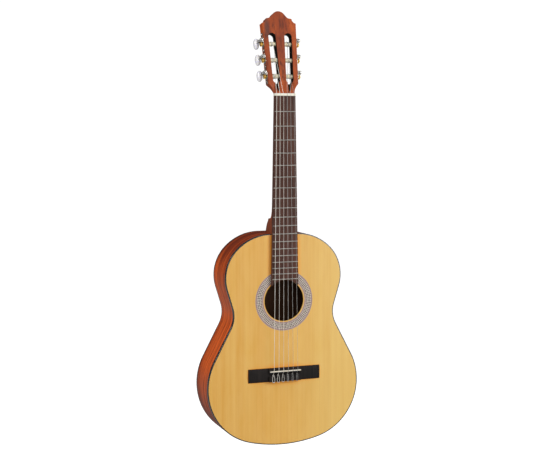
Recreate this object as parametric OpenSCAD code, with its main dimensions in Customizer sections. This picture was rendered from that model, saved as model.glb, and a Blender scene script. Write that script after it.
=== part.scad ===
// Classical guitar with six nylon strings, a slotted head and open-geared machine heads.
//
// Frame: the origin is on the centre line at the front edge of the nut, on the glue plane
// between neck and fingerboard, which is also the plane of the soundboard's face.
// +Z runs up the neck, -Y is the front where the strings are, +X is the treble side.

/* [Strings and scale] */
// Open string length from the nut to the saddle's crest, before compensation
scale_len = 650; // [645:1:655]
// Number of frets
fret_count = 19; // [12:1:19]
// Diameters of strings 1 (treble) to 6 (bass)
string_d = [0.71, 0.82, 1.02, 0.74, 0.89, 1.09]; // [0.5:0.01:1.2]
// Distance between the outer strings at the nut
nut_spread = 43.5; // [41:0.5:44]
// Distance between the outer strings at the saddle
saddle_spread = 60.5; // [56:0.5:62]

/* [Body] */
// Length of the sound box along the neck's direction
body_len = 510; // [505:1:515]
// Outer depth of the sound box
body_depth = 94; // [90:1:98]
// Widest part of the upper bout
upper_w = 294; // [288:1:298]
// Narrowest part of the waist
waist_w = 254; // [248:1:260]
// Widest part of the lower bout
lower_w = 383; // [376:1:388]
// Thickness of the spruce top
top_t = 2.6; // [2.2:0.1:3]
// Thickness of the flat back
back_t = 2.8; // [2.4:0.1:3.2]
// Thickness of the bent ribs, and of the binding that covers their edges
rib_t = 2.5; // [2:0.1:2.8]
// Height of the binding strips
binding_h = 6.2; // [5:0.1:7]

/* [Sound hole and rosette] */
// Radius of the sound hole
hole_r = 49.6; // [48:0.1:50]
// Inner and outer radius of the rosette's inlay
rosette_r = [52.3, 72.6]; // [52:0.1:74]
// Depth of the rosette's inlay
rosette_t = 1.2; // [0.8:0.1:1.5]

/* [Neck and fingerboard] */
// Width of the neck at the nut
nut_w = 52; // [51:0.5:53]
// Width of the neck where it meets the body
joint_w = 63; // [60:0.5:64]
// Thickness of the fingerboard
board_t = 7.5; // [7:0.1:8]
// Depth of the neck's wood at the nut
neck_d_nut = 14.5; // [13.5:0.1:15.5]
// Depth of the neck's wood before the heel
neck_d_heel = 16.6; // [15.8:0.1:17.5]
// Thickness of the nut along the strings
nut_t = 6; // [5:0.1:6.5]

/* [Head] */
// Angle by which the head leans back
head_tilt = 12; // [11:0.5:14]
// Length of the head along its own face
head_len = 200; // [198:1:202]
// Thickness of the head
head_t = 20; // [19:0.5:21]
// Half width of the head at the lowest machine
head_half = 38; // [37.5:0.1:38.5]
// Flare of each side of the head
head_flare = 1.95; // [1.5:0.05:2.2]
// Width of each string slot
slot_w = 18; // [17:0.5:18.5]
// Wood left outside each slot
cheek_t = 12; // [11.5:0.5:12.5]

/* [Machine heads] */
// Distance between neighbouring rollers
roller_pitch = 39; // [38.5:0.5:39.5]
// Radius of the nylon rollers
roller_r = 5.03; // [4.9:0.01:5.05]
// Teeth on each brass gear
gear_teeth = 14; // [14:1:14]
// Gear module: pitch diameter over teeth
gear_module = 0.75; // [0.74:0.01:0.76]
// Width of the gear's rim
gear_w = 3.2; // [2.8:0.1:3.4]
// Length of a button across its shaft
button_len = 26; // [24:0.5:27]

/* [Bridge] */
// Overall length of the bridge
bridge_len = 182; // [178:1:186]
// Height of the saddle's crest over the soundboard
saddle_h = 13.6; // [13:0.1:14]
// Height of the tie block
tie_h = 9.6; // [9:0.1:10]

/* [Hidden] */
$fn = 64;

// Colours of the materials
spruce = [0.89, 0.71, 0.39];
mahogany = [0.56, 0.22, 0.10];
rosewood = [0.27, 0.17, 0.14];
ebony_black = [0.09, 0.09, 0.10];
bone = [0.93, 0.90, 0.82];
nickel = [0.75, 0.75, 0.74];
brass = [0.80, 0.60, 0.22];
nylon_cream = [0.90, 0.85, 0.66];
pearl = [0.90, 0.90, 0.93];
string_grey = [0.80, 0.80, 0.80];

// Heights along Z
body_fret = 12;
z_joint = fret_z(body_fret);
z_tail = z_joint - body_len;
// Distance from the nut at which the strings break over the saddle
saddle_z = -scale_len - 3.4;

// Bridge: its front edge ahead of the saddle's crest, its depth, and the tie block's two sides
// behind the crest
bridge_ahead = 6.9;
bridge_deep = 33;
bridge_core_half = 40;
tie_behind = [11.1, 25.5];
saddle_half = 39.3;
saddle_front = 0.8;
saddle_t = 3;
saddle_seat = 4;
slot_play = 0.05;

// The outline's arcs: flat run at the neck, then upper bout, waist and lower bout
joint_flat = 34;
upper_r = 96;
upper_z = z_joint - 103;
waist_r = 63;
waist_z = z_joint - 192;
lower_r = 139;
lower_z = z_joint - 364;
arc_step = 3.5;

hole_z = z_joint - 160.2;
small_gap = 0.02;

// Inner pieces of the sound box
lining_t = 5;
lining_h = 14;
block_half = 34;
neck_block_len = 36;
tail_block_len = 22;
tenon_half = 12;
tenon_len = 14;
tenon_y = [24, 82];
brace_clear = rib_t + lining_t + 0.4;
patch_r = 66;
patch_t = 1.6;
bar_w = 8;
top_bar_h = 17;
top_bar_from_hole = 72;
back_bar_h = 15;
// Distances of the back's bars from the neck joint
back_bar_at = [78, 232, 315, 405];
fan_struts = 3;
fan_pitch = 21;
fan_angle = 5.5;
fan_len = 235;
fan_size = [6, 5];

// Frets
fret_crown_w = 2.1;
fret_crown_h = 1.1;
fret_tang = [0.5, 1.8];

// Strings
string_floor_nut = board_t + fret_crown_h + 0.15;
nut_crown = 2;
string_break = 2;
saddle_touch = 0.03;

// Heel of the neck
heel_depth = body_depth - 2.5;
heel_run = 80;
heel_cap_run = 30;
heel_root_depth = 118;
heel_waist = 0.42;
neck_bend = 30;
// How square the neck's section is: 1 is a half ellipse, and less is squarer
neck_round = 0.92;

// Head: place of its face's foot line in Y and Z
head_y = -2;
head_z = 5;
head_foot = 43;
slot_run = [25, 146];
// Three points of the plane that carves a lower corner of the head's back, in its frame
carve_at = [[26, 8, 0], [13, 20, 0], [36.5, 20, 25]];
// Cone that cuts each ramp into a slot, in the head's frame
ramp_foot = [13.2, -0.9, 6];
ramp_top = [16.7, 6.6, 33.5];
ramp_r = [1, 8.8];

// Machine heads, in the frame of on_machine()
axle_depth = 9;
post_r = 2.5;
bore_r = roller_r + 0.07;
roller_in = cheek_t + slot_w + 6;
plate_t = 1.2;
plate_run = [-19, 105];
// Wide part of the plate at a machine: its width, its length, and how far it starts below
plate_wide = [15, 23, 8];
plate_narrow = 8;
plate_end_r = 5;
piercing_r = 1.5;
piercing_at = 4.6;
gear_r = gear_module * gear_teeth / 2;
gear_x = 5.6;
worm_root = 2.75;
worm_pitch_r = 3.55;
worm_tip = 4.15;
worm_z = gear_r + worm_pitch_r;
worm_half_len = 5.4;
worm_lead = PI * gear_module;
// Thread: half its width at the foot and at the tip, how far its foot is sunk in the core, by
// how many turns it is shorter than the core, and the steps over which its ends fade out
thread_half = [0.72, 0.24];
thread_sunk = 0.35;
thread_short = 0.4;
thread_fade = 5;
shaft_r = 2;
bearing_play = 0.05;
collar_r = [2.9, 3];
lug_r = 5;
lug_t = 1.6;
lug_at = 6.2;
button_at = [31.5, 50.5];
button_t = 12.5;
button_edge = 3.6;
button_wall = 3.8;
winding_turns = 3;
winding_gap = 0.16;
screw_spots = [-14, 23.5, 62.5, 101];
screw_r = 1.3;

// ---------------------------------------------------------------- helpers

// Places of the frets and of the fingerboard's edge
function fret_z(n) = -scale_len * (1 - pow(2, -n / 12));
function board_half(z) = nut_w / 2 + (joint_w - nut_w) / 2 * z / z_joint;

// Points on an arc; first = 1 leaves out a start that the previous arc already has
function arc_pts(c, r, a0, a1, first = 0, step = arc_step) =
    let (n = max(2, ceil(abs(a1 - a0) / step)))
    [for (i = [first:n]) let (a = a0 + (a1 - a0) * i / n) c + r * [cos(a), sin(a)]];

// Angle of the straight line that runs from a convex circle to a concave one
function lean(ca, ra, cb, rb) = acos((ra + rb) / norm(cb - ca));
function bearing(p, q) = atan2(q.y - p.y, q.x - p.x);

// Radius of the circle that starts level at `flat` from the axis, h above a circle's centre,
// and rolls into that circle
function rolling_r(dx, h, r) = (dx * dx + h * h - r * r) / (2 * (h - r));

// Right half of the body's outline in X and Z, from the neck to the tail, moved in by `inset`
function half_outline(inset) =
    let (
        cu = [upper_w / 2 - upper_r, upper_z],
        cw = [waist_w / 2 + waist_r, waist_z],
        cl = [lower_w / 2 - lower_r, lower_z],
        top_r = rolling_r(cu.x - joint_flat, z_joint - cu.y, upper_r),
        ct = [joint_flat, z_joint - top_r],
        end_r = rolling_r(cl.x, cl.y - z_tail, lower_r),
        ce = [0, z_tail + end_r],
        a_top = bearing(ct, cu),
        a_waist = bearing(cu, cw) + lean(cu, upper_r, cw, waist_r),
        a_hip = bearing(cl, cw) - lean(cl, lower_r, cw, waist_r),
        a_end = bearing(ce, cl)
    )
    concat(
        [[0, z_joint - inset]],
        arc_pts(ct, top_r - inset, 90, a_top),
        arc_pts(cu, upper_r - inset, a_top, a_waist, 1),
        arc_pts(cw, waist_r + inset, a_waist + 180, a_hip + 180),
        arc_pts(cl, lower_r - inset, a_hip, a_end),
        arc_pts(ce, end_r - inset, a_end, -90, 1)
    );

// Closes a right half whose first and last points lie on the axis
function both_halves(half) =
    concat(half, [for (i = [len(half) - 2:-1:1]) [-half[i].x, half[i].y]]);

// Extrudes a drawing in X and Z from y0 back to y1
module slab(y0, y1) translate([0, y1, 0]) rotate([90, 0, 0]) linear_extrude(y1 - y0) children();

module body_slab(inset, y0, y1) slab(y0, y1) polygon(both_halves(half_outline(inset)));

// A strip that follows the outline
module rim(outer, inner, y0, y1) difference() {
    body_slab(outer, y0, y1);
    body_slab(inner, y0 - 1, y1 + 1);
}

// Extrudes a profile of [z, height] pairs along X, from x - half to x + half
module bar_at(x, half, profile)
    translate([x + half, 0, 0]) rotate([0, -90, 0])
        linear_extrude(2 * half) polygon([for (p = profile) [p[0], -p[1]]]);

// A round bar or cone between two points
module between(p, q, r1, r2) {
    d = q - p;
    translate(p)
        rotate([0, acos(d.z / norm(d)), atan2(d.y, d.x)])
            cylinder(h = norm(d), r1 = r1, r2 = r2);
}

function unit(v) = v / norm(v);

// A tube of 8 sides along a path that never runs along X. Rings at bends are mitred.
module tube(path, r) {
    n = len(path);
    sides = 8;
    dirs = [for (i = [0:n - 1]) unit(path[min(i + 1, n - 1)] - path[min(i, n - 2)])];
    points = [for (i = [0:n - 1])
        let (
            before = dirs[max(i - 1, 0)],
            t = unit(before + dirs[i]),
            u = unit(cross(t, [1, 0, 0])),
            w = cross(t, u),
            mitre = 1 / max(t * dirs[i], 0.5)
        )
        for (k = [0:sides - 1])
            let (a = 360 * (k + 0.5) / sides)
            path[i] + r * (mitre * cos(a) * u + sin(a) * w)];
    walls = [for (i = [0:n - 2]) for (k = [0:sides - 1])
        let (a = i * sides + k, b = i * sides + (k + 1) % sides)
        each [[a, a + sides, b], [b, a + sides, b + sides]]];
    caps = [[for (k = [0:sides - 1]) k], [for (k = [sides - 1:-1:0]) (n - 1) * sides + k]];
    polyhedron(points, concat(walls, caps));
}

// ---------------------------------------------------------------- frames of the head

// Head frame: X across, Y into the wood from the face, Z up the head
module on_head() translate([0, head_y, head_z]) rotate([-head_tilt, 0, 0]) children();

// Machine frame of one side: X out of the cheek from its surface, Y into the head, Z up the
// cheek from the lowest roller
module on_machine(side)
    on_head() mirror([side < 0 ? 1 : 0, 0, 0])
        translate([head_half, 0, head_foot]) rotate([0, head_flare, 0]) children();

// The same steps for one point, and back again
function from_machine(side, p) =
    let (
        x = head_half + p.x * cos(head_flare) + p.z * sin(head_flare),
        a = head_foot - p.x * sin(head_flare) + p.z * cos(head_flare)
    )
    [side * x,
     head_y + a * sin(head_tilt) + p.y * cos(head_tilt),
     head_z + a * cos(head_tilt) - p.y * sin(head_tilt)];
function to_machine(side, q) =
    let (
        y = q.y - head_y,
        z = q.z - head_z,
        a = y * sin(head_tilt) + z * cos(head_tilt) - head_foot,
        x = side * q.x - head_half
    )
    [x * cos(head_flare) - a * sin(head_flare),
     y * cos(head_tilt) - z * sin(head_tilt),
     x * sin(head_flare) + a * cos(head_flare)];

// Strings 1 to 3 are on the treble side and 4 to 6 on the bass side. On both sides the outer
// string goes to the lowest roller.
function side_of(i) = i <= 3 ? 1 : -1;
function step_of(i) = i <= 3 ? i - 1 : 6 - i;

// ---------------------------------------------------------------- sound box

module soundboard() color(spruce) difference() {
    body_slab(rib_t, 0, top_t);
    slab(-1, top_t + 1) translate([0, hole_z]) circle(hole_r);
    slab(-1, rosette_t) translate([0, hole_z]) difference() {
        circle(rosette_r[1]);
        circle(rosette_r[0]);
    }
}

module rosette() color("dimgray") slab(0, rosette_t) translate([0, hole_z]) difference() {
    circle(rosette_r[1] - small_gap);
    circle(rosette_r[0] + small_gap);
}

module back_plate() color(mahogany) body_slab(rib_t, body_depth - back_t, body_depth);

// One side wall. The two meet at the tail and leave room for the neck's tenon.
module rib(side) color(mahogany) difference() {
    rim(0, rib_t, binding_h, body_depth - binding_h);
    translate([side > 0 ? -lower_w : 0, -1, z_tail - 1])
        cube([lower_w, body_depth + 2, body_len + 2]);
    translate([-tenon_half, -1, z_joint - rib_t - 1])
        cube([2 * tenon_half, body_depth + 2, rib_t + 2]);
}

module top_binding() color(ebony_black) rim(0, rib_t, 0, binding_h);

module back_binding() color(ebony_black) rim(0, rib_t, body_depth - binding_h, body_depth);

// Blocks of the frame at either end of the box, between the top and the back
module end_block(z0, z1) intersection() {
    body_slab(rib_t, top_t, body_depth - back_t);
    translate([-block_half, 0, z0]) cube([2 * block_half, body_depth, z1 - z0]);
}

module neck_block() color("peru") difference() {
    end_block(z_joint - rib_t - neck_block_len, z_joint);
    translate([-tenon_half, tenon_y[0], z_joint - rib_t - tenon_len])
        cube([2 * tenon_half, tenon_y[1] - tenon_y[0], tenon_len + rib_t]);
}

module tail_block() color("peru") end_block(z_tail, z_tail + rib_t + tail_block_len);

// Strips that widen the ribs' edges for gluing, cut off at the two blocks
module linings() color("burlywood") difference() {
    union() {
        rim(rib_t, rib_t + lining_t, top_t, top_t + lining_h);
        rim(rib_t, rib_t + lining_t, body_depth - back_t - lining_h, body_depth - back_t);
    }
    translate([-block_half, 0, z_tail - 1]) cube([2 * block_half, body_depth, body_len + 2]);
}

module soundhole_patch() color(spruce) slab(top_t, top_t + patch_t) translate([0, hole_z]) difference() {
    circle(patch_r);
    circle(hole_r + 1.5);
}

// A bar glued across a plate, clear of the linings
module cross_bar(z, width, y0, y1) intersection() {
    body_slab(brace_clear, y0, y1);
    translate([-lower_w / 2, y0, z - width / 2]) cube([lower_w, y1 - y0, width]);
}

// Two harmonic bars above and below the hole, and seven fan struts under the bridge
module top_braces() color(spruce) {
    for (s = [-1, 1])
        cross_bar(hole_z + s * top_bar_from_hole, bar_w, top_t, top_t + top_bar_h);
    intersection() {
        body_slab(brace_clear + 8, top_t, top_t + fan_size[1]);
        for (i = [-fan_struts:fan_struts])
            translate([i * fan_pitch, top_t, hole_z - top_bar_from_hole - 12])
                rotate([0, -i * fan_angle, 0])
                    translate([-fan_size[0] / 2, 0, -fan_len])
                        cube([fan_size[0], fan_size[1], fan_len]);
    }
}

module back_braces() color(spruce)
    for (z = back_bar_at)
        cross_bar(z_joint - z, bar_w, body_depth - back_t - back_bar_h, body_depth - back_t);

// ---------------------------------------------------------------- bridge

module bridge() color(ebony_black) {
    z_front = saddle_z + bridge_ahead;
    z_back = z_front - bridge_deep;
    z_tie = saddle_z - tie_behind[0];
    z_end = saddle_z - tie_behind[1];
    core = [
        [z_front, 0], [z_front, 4], [z_front - 3, 9], [z_front - 11.5, 9], [z_front - 14, 3.8],
        [z_tie, 3.8], [z_tie, tie_h], [z_end + 1, tie_h], [z_end, tie_h - 1], [z_end, 0]
    ];
    wing = [
        [z_front, 0], [z_front, 2], [z_front - 3, 3.4], [z_front - 9, 4.4], [z_back + 9, 4.4],
        [z_back + 3, 3.4], [z_back, 2], [z_back, 0]
    ];
    difference() {
        union() {
            bar_at(0, bridge_core_half, core);
            bar_at(0, bridge_len / 2, wing);
        }
        // Slot of the saddle
        translate([-saddle_half - slot_play, -20, saddle_z + saddle_front - saddle_t - slot_play])
            cube([2 * (saddle_half + slot_play), 20 - saddle_seat, saddle_t + 2 * slot_play]);
        // Holes through the tie block
        for (i = [1:6])
            translate([string_x(i, saddle_spread), -5.2, z_back - 2]) cylinder(h = 20, r = 1.15);
        // Ends that thin towards the tips
        for (s = [-1, 1])
            translate([s * bridge_len / 2, -1.8, 0])
                rotate([0, 0, s * 12])
                    translate([-20, -10, z_back - 2]) cube([40, 10, bridge_deep + 4]);
    }
}

module saddle() color(bone) {
    z0 = saddle_z + saddle_front;
    z1 = z0 - saddle_t;
    foot = saddle_seat + slot_play;
    bar_at(0, saddle_half, [
        [z0, foot], [z0, saddle_h], [z0 - 0.9, saddle_h], [z1, saddle_h - 2.4], [z1, foot]
    ]);
}

// ---------------------------------------------------------------- neck

// Depth of the neck's wood behind the glue plane. Past the cap's edge it is the depth that the
// heel's curve would have if nothing cut it off.
function neck_depth(z) =
    let (
        s = z - z_joint,
        plain = neck_d_nut + (neck_d_heel - neck_d_nut) * z / z_joint,
        u = (heel_run - s) / (heel_run - heel_cap_run),
        k = (z + neck_bend) / (nut_t + neck_bend)
    )
    s < heel_cap_run ? heel_depth + (heel_root_depth - heel_depth) * (1 - s / heel_cap_run)
    : s < heel_run ? plain + (heel_depth - plain) * (1 - sqrt(1 - u * u))
    : plain + (k > 0 ? (head_back_y() - plain) * k * k : 0);

// Where the head's back meets the nut's rear plane
function head_back_y() = head_y + head_t / cos(head_tilt);

// Point k of n round one side of the section at height z, cut off at the heel's cap
function neck_point(z, k, n) =
    let (
        d = neck_depth(z),
        e = neck_round,
        a_max = d <= heel_depth ? 87 : asin(pow(heel_depth / d, 1 / e)),
        a = a_max * k / n,
        y = d * pow(sin(a), e)
    )
    [board_half(z) * pow(cos(a), e) * (1 - heel_waist * y / body_depth), y, z];

function neck_levels() = concat(
    [for (i = [0:7]) nut_t - i * 5],
    [for (i = [1:5]) -neck_bend - i * (-z_joint - heel_run - neck_bend) / 5],
    [for (i = [1:10]) z_joint + heel_run - (heel_run - heel_cap_run) * sin(9 * i)],
    [for (i = [1:6]) z_joint + heel_cap_run * (1 - i / 6)]
);

// Shaft and heel in one piece, with the tenon that goes into the neck block
module neck() color(mahogany) {
    n = 12;
    levels = neck_levels();
    ring = 2 * n + 2;
    points = [for (z = levels) each concat(
        [for (k = [0:n]) neck_point(z, k, n)],
        [for (k = [n:-1:0]) let (p = neck_point(z, k, n)) [-p.x, p.y, p.z]]
    )];
    walls = [for (i = [0:len(levels) - 2]) for (k = [0:ring - 1])
        let (a = i * ring + k, b = i * ring + (k + 1) % ring)
        each [[a, b, a + ring], [b, b + ring, a + ring]]];
    caps = [
        [for (k = [ring - 1:-1:0]) k],
        [for (k = [0:ring - 1]) (len(levels) - 1) * ring + k]
    ];
    polyhedron(points, concat(walls, caps));
    translate([-tenon_half, tenon_y[0], z_joint - rib_t - tenon_len])
        cube([2 * tenon_half, tenon_y[1] - tenon_y[0], tenon_len + rib_t + 1]);
}

// Thin plate that closes the heel, flush with the back
module heel_cap() color(ebony_black) {
    n = 12;
    edge = [for (i = [0:n]) let (p = neck_point(z_joint + (heel_cap_run - 0.3) * i / n, n, n)) [p.x, p.z]];
    mirrored = [for (i = [n:-1:0]) [-edge[i].x, edge[i].y]];
    slab(heel_depth, body_depth) polygon(concat(edge, mirrored));
}

module fingerboard() color(rosewood) difference() {
    z_end = hole_z + hole_r * 0.7;
    slab(-board_t, 0) polygon([
        [nut_w / 2, 0], [board_half(z_end), z_end], [-board_half(z_end), z_end], [-nut_w / 2, 0]
    ]);
    // The end follows the sound hole
    slab(-board_t - 1, 1) translate([0, hole_z]) circle(hole_r);
    for (n = [1:fret_count])
        translate([-50, -board_t - 1, fret_z(n) - fret_tang[0] / 2 - 0.03])
            cube([100, fret_tang[1] + 1.05, fret_tang[0] + 0.06]);
}

module frets() color(nickel) for (n = [1:fret_count]) {
    half = board_half(fret_z(n)) - 0.4;
    translate([-half, -board_t, fret_z(n)]) rotate([90, 0, 90]) linear_extrude(2 * half)
        union() {
            // The crown is the cap of a circle
            intersection() {
                translate([fret_crown_cap() - fret_crown_h, 0]) circle(fret_crown_cap());
                translate([-fret_crown_h, -fret_crown_w / 2]) square([fret_crown_h, fret_crown_w]);
            }
            translate([-0.1, -fret_tang[0] / 2]) square([fret_tang[1] + 0.1, fret_tang[0]]);
        }
}

// Radius of a circle whose cap is as wide and high as the fret's crown
function fret_crown_cap() =
    (pow(fret_crown_w / 2, 2) + pow(fret_crown_h, 2)) / (2 * fret_crown_h);

// ---------------------------------------------------------------- nut and strings

function string_x(i, spread) = spread / 2 - (i - 1) * spread / 5;
function string_r(i) = string_d[i - 1] / 2;

// Where string i leaves the nut's crown towards its roller
function nut_break(i) = [string_x(i, nut_spread), -string_floor_nut - string_r(i), string_break];

// Place of the first turn on the roller, along the machine's X
function winding_x(i) = -19.5 - step_of(i) * 1.2;
function winding_r(i) = roller_r + string_r(i) + 0.04;

// Where string i first touches its roller, on the side of the head's face
function roller_touch(i) =
    let (
        m = to_machine(side_of(i), nut_break(i)),
        v = [m.z - step_of(i) * roller_pitch, m.y - axle_depth],
        a = atan2(v.y, v.x) + acos(winding_r(i) / norm(v)),
        touch = winding_r(i) * [cos(a), sin(a)]
    )
    from_machine(side_of(i),
        [winding_x(i), axle_depth + touch.y, step_of(i) * roller_pitch + touch.x]);

// The slots' floors run level under the string and then slope to the head
module nut() color(bone) difference() {
    top = string_floor_nut + nut_crown;
    bar_at(0, nut_w / 2, [[0, 0], [0, top], [nut_t - 1.6, top], [nut_t, top - 1.4], [nut_t, 0]]);
    for (i = [1:6]) {
        slope = unit(roller_touch(i) - nut_break(i));
        fall = (nut_t - string_break + 1) * slope.y / slope.z;
        bar_at(string_x(i, nut_spread), string_r(i) + 0.05, [
            [-1, top + 1], [-1, string_floor_nut], [string_break, string_floor_nut],
            [nut_t + 1, string_floor_nut - fall], [nut_t + 1, top + 1]
        ]);
        bar_at(string_x(i, nut_spread), string_r(i) + 0.6, [
            [string_break, top + 1], [string_break, string_floor_nut],
            [nut_t + 1, string_floor_nut - fall], [nut_t + 1, top + 1]
        ]);
    }
}

// One string along its whole fixed run: roller, nut, saddle, tie block and tie loop
module string(i) color(string_grey) {
    r = string_r(i);
    x = string_x(i, saddle_spread);
    z_tie = saddle_z - tie_behind[0];
    z_rear = saddle_z - tie_behind[1] - r - 0.2;
    y_over = -tie_h - r - 0.2;
    tube([
        roller_touch(i),
        nut_break(i),
        [string_x(i, nut_spread), nut_break(i).y, 0.1],
        [x, -saddle_h - r - saddle_touch, saddle_z + 0.6],
        [x, -saddle_h - r - saddle_touch, saddle_z - 0.35],
        [x, -5.9, z_tie + 1.0],
        [x, -5.2, z_tie - 0.3],
        [x, -5.2, z_rear + 0.8],
        [x + 0.2, -5.8, z_rear],
        [x + 0.8, y_over + 1, z_rear],
        [x + 1.1, y_over, z_rear + 1],
        [x + 1.9, y_over, z_tie + 0.3],
        [x + 2.1, y_over + 0.6, z_tie + 1.1],
        [x + 2.3, y_over + 2.6, z_tie + 1.4]
    ], r);
}

// ---------------------------------------------------------------- head

// Right half of the head's outline, from below the nut up to the crown's middle
function head_half_outline() =
    let (
        foot = [nut_w / 2 + 30, 0],
        cheek_at = function (a) head_half + (a - head_foot) * tan(head_flare)
    )
    concat(
        [[0, -8], [nut_w / 2, -8]],
        arc_pts(foot, 30, 180, 133, 0, 6),
        [[cheek_at(24.5), 24.5], [cheek_at(169), 169]],
        arc_pts([44.5, head_len - 17], 12.3, 262, 200, 0, 9),
        arc_pts([29.8, head_len - 20.6], 3.2, 5, 92, 0, 18),
        arc_pts([28, head_len - 5.6], 11.5, 268, 215, 0, 9),
        arc_pts([0, head_len - 18], 18, 35, 90, 0, 7)
    );

// A block on the far side of the plane through three points
module beyond(p) {
    n = unit(cross(p[1] - p[0], p[2] - p[0]));
    translate(p[0]) rotate([0, acos(n.z), atan2(n.y, n.x)])
        translate([-head_len / 2, -head_len / 2, 0]) cube([head_len, head_len, head_t * 2]);
}

module headstock() color(mahogany) difference() {
    on_head() slab(0, head_t) polygon(both_halves(head_half_outline()));
    // The nut's rear plane
    translate([-50, -50, nut_t - 60]) cube([100, 100, 60]);
    // The back's lower corners are carved away to meet the round neck
    on_head() for (side = [-1, 1])
        mirror([side < 0 ? 1 : 0, 0, 0]) beyond(carve_at);
    for (side = [-1, 1]) {
        on_machine(side) {
            // The string slot
            slab(-1, head_t + 1) {
                x = -cheek_t - slot_w / 2;
                z0 = slot_run[0] + slot_w / 2 - head_foot;
                z1 = slot_run[1] - slot_w / 2 - head_foot;
                translate([x, z0]) circle(slot_w / 2);
                translate([x, z1]) circle(slot_w / 2);
                translate([x - slot_w / 2, z0]) square([slot_w, z1 - z0]);
            }
            // Bores of the rollers, from the cheek into the middle wall
            for (k = [0:2])
                translate([-roller_in - 0.3, axle_depth, k * roller_pitch])
                    rotate([0, 90, 0]) cylinder(h = roller_in + 2, r = bore_r);
            // Pilot holes of the screws
            for (z = screw_spots)
                translate([-9, axle_depth, z]) rotate([0, 90, 0]) cylinder(h = 10, r = screw_r + small_gap);
        }
        // Ramp that lets the strings down into the slot
        on_head() mirror([side < 0 ? 1 : 0, 0, 0])
            between(ramp_foot, ramp_top, ramp_r[0], ramp_r[1]);
    }
}

// ---------------------------------------------------------------- machine heads

module machine_plate(side) color(nickel) on_machine(side) {
    difference() {
        union() {
            // The plate is wide at the machines and narrow between them
            rotate([90, 0, 90]) linear_extrude(plate_t) {
                for (k = [0:2])
                    translate([axle_depth - plate_wide[0] / 2, k * roller_pitch - plate_wide[2]])
                        square([plate_wide[0], plate_wide[1]]);
                translate([axle_depth - plate_narrow / 2, plate_run[0] + plate_end_r])
                    square([plate_narrow, plate_run[1] - plate_run[0] - 2 * plate_end_r]);
                for (z = [plate_run[0] + plate_end_r, plate_run[1] - plate_end_r])
                    translate([axle_depth, z]) circle(plate_end_r);
            }
            for (k = [0:2]) machine_lugs(k * roller_pitch + worm_z);
        }
        for (k = [0:2]) {
            translate([-1, axle_depth, k * roller_pitch])
                rotate([0, 90, 0]) cylinder(h = 4, r = post_r + 0.06);
            // Bearings of the worm's shaft
            translate([gear_x, axle_depth - 10, k * roller_pitch + worm_z])
                rotate([-90, 0, 0]) cylinder(h = 20, r = shaft_r + bearing_play);
        }
        for (z = screw_spots)
            translate([-1, axle_depth, z]) rotate([0, 90, 0]) cylinder(h = 4, r = screw_r + 0.1);
        // Ornamental piercings
        for (k = [0:1], s = [-1, 1])
            translate([-1, axle_depth, screw_spots[1] + k * roller_pitch + s * piercing_at])
                rotate([0, 90, 0]) cylinder(h = 4, r = piercing_r);
    }
}

// The two ears that hold a worm, bent out of the plate
module machine_lugs(z)
    for (s = [-1, 1])
        translate([0, axle_depth + s * lug_at + (s < 0 ? -lug_t : 0), z]) {
            translate([gear_x, 0, 0]) rotate([-90, 0, 0]) cylinder(h = lug_t, r = lug_r);
            translate([plate_t / 2, 0, -lug_r]) cube([gear_x - plate_t / 2, lug_t, 2 * lug_r]);
        }

// Slotted screws with low domed heads
module plate_screws() color(nickel)
    for (side = [-1, 1]) on_machine(side) for (z = screw_spots)
        translate([0, axle_depth, z]) difference() {
            rotate([0, 90, 0]) rotate_extrude() polygon([
                [0, -8.5], [screw_r, -8.5], [screw_r, plate_t], [2.5, plate_t],
                [2.4, plate_t + 0.6], [1.8, plate_t + 1.1], [0, plate_t + 1.3]
            ]);
            translate([plate_t + 0.75, -3, -0.3]) cube([2, 6, 0.6]);
        }

// One screw thread round the Y axis. hand undoes the bass side's mirroring, so that all six
// threads wind the same way. The thread passes under the axis half a lead from the middle, so
// that a gear tooth that points straight up stands in a gap.
module thread(hand) {
    per_turn = 16;
    n = round((2 * worm_half_len / worm_lead - thread_short) * per_turn);
    first = -(n + per_turn) / 2;
    ring = [for (i = [0:n])
        let (
            a = 360 * (first + i) / per_turn,
            y = worm_lead * a / 360 + worm_lead / 2,
            fade = min(1, 0.1 + min(i, n - i) / thread_fade),
            tip = worm_root + (worm_tip - worm_root) * fade,
            foot = worm_root - thread_sunk
        )
        each [for (q = [
                [foot, -thread_half[0]], [tip, -thread_half[1]],
                [tip, thread_half[1]], [foot, thread_half[0]]
            ])
            [hand * q[0] * sin(a), y + q[1], -q[0] * cos(a)]]];
    walls = [for (i = [0:n - 1]) for (k = [0:3])
        let (a = 4 * i + k, b = 4 * i + (k + 1) % 4)
        each [[a, b, a + 4], [b, b + 4, a + 4]]];
    faces = concat(walls, [[3, 2, 1, 0], [4 * n, 4 * n + 1, 4 * n + 2, 4 * n + 3]]);
    polyhedron(ring, hand < 0 ? faces : [for (f = faces) [for (j = [len(f) - 1:-1:0]) f[j]]]);
}

// Steel worm on its shaft, which runs back to the button
module worm(i) color(nickel) on_machine(side_of(i))
    translate([gear_x, axle_depth, step_of(i) * roller_pitch + worm_z]) {
        rotate([-90, 0, 0]) translate([0, 0, -worm_half_len - 0.4])
            cylinder(h = 2 * worm_half_len + 0.8, r = worm_root);
        thread(side_of(i));
        // Shaft, with a rounded collar in front of its bearing and one before the button
        y0 = -lug_at - lug_t - 1.6;
        translate([0, y0, 0]) rotate([-90, 0, 0])
            cylinder(h = button_at[1] - axle_depth - 5 - y0, r = shaft_r);
        translate([0, y0 - 0.9, 0]) rotate([-90, 0, 0]) cylinder(h = 1.6, r = collar_r[0]);
        translate([0, lug_at + lug_t + 0.6, 0]) rotate([-90, 0, 0]) cylinder(h = 1.8, r = collar_r[1]);
    }

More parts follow.
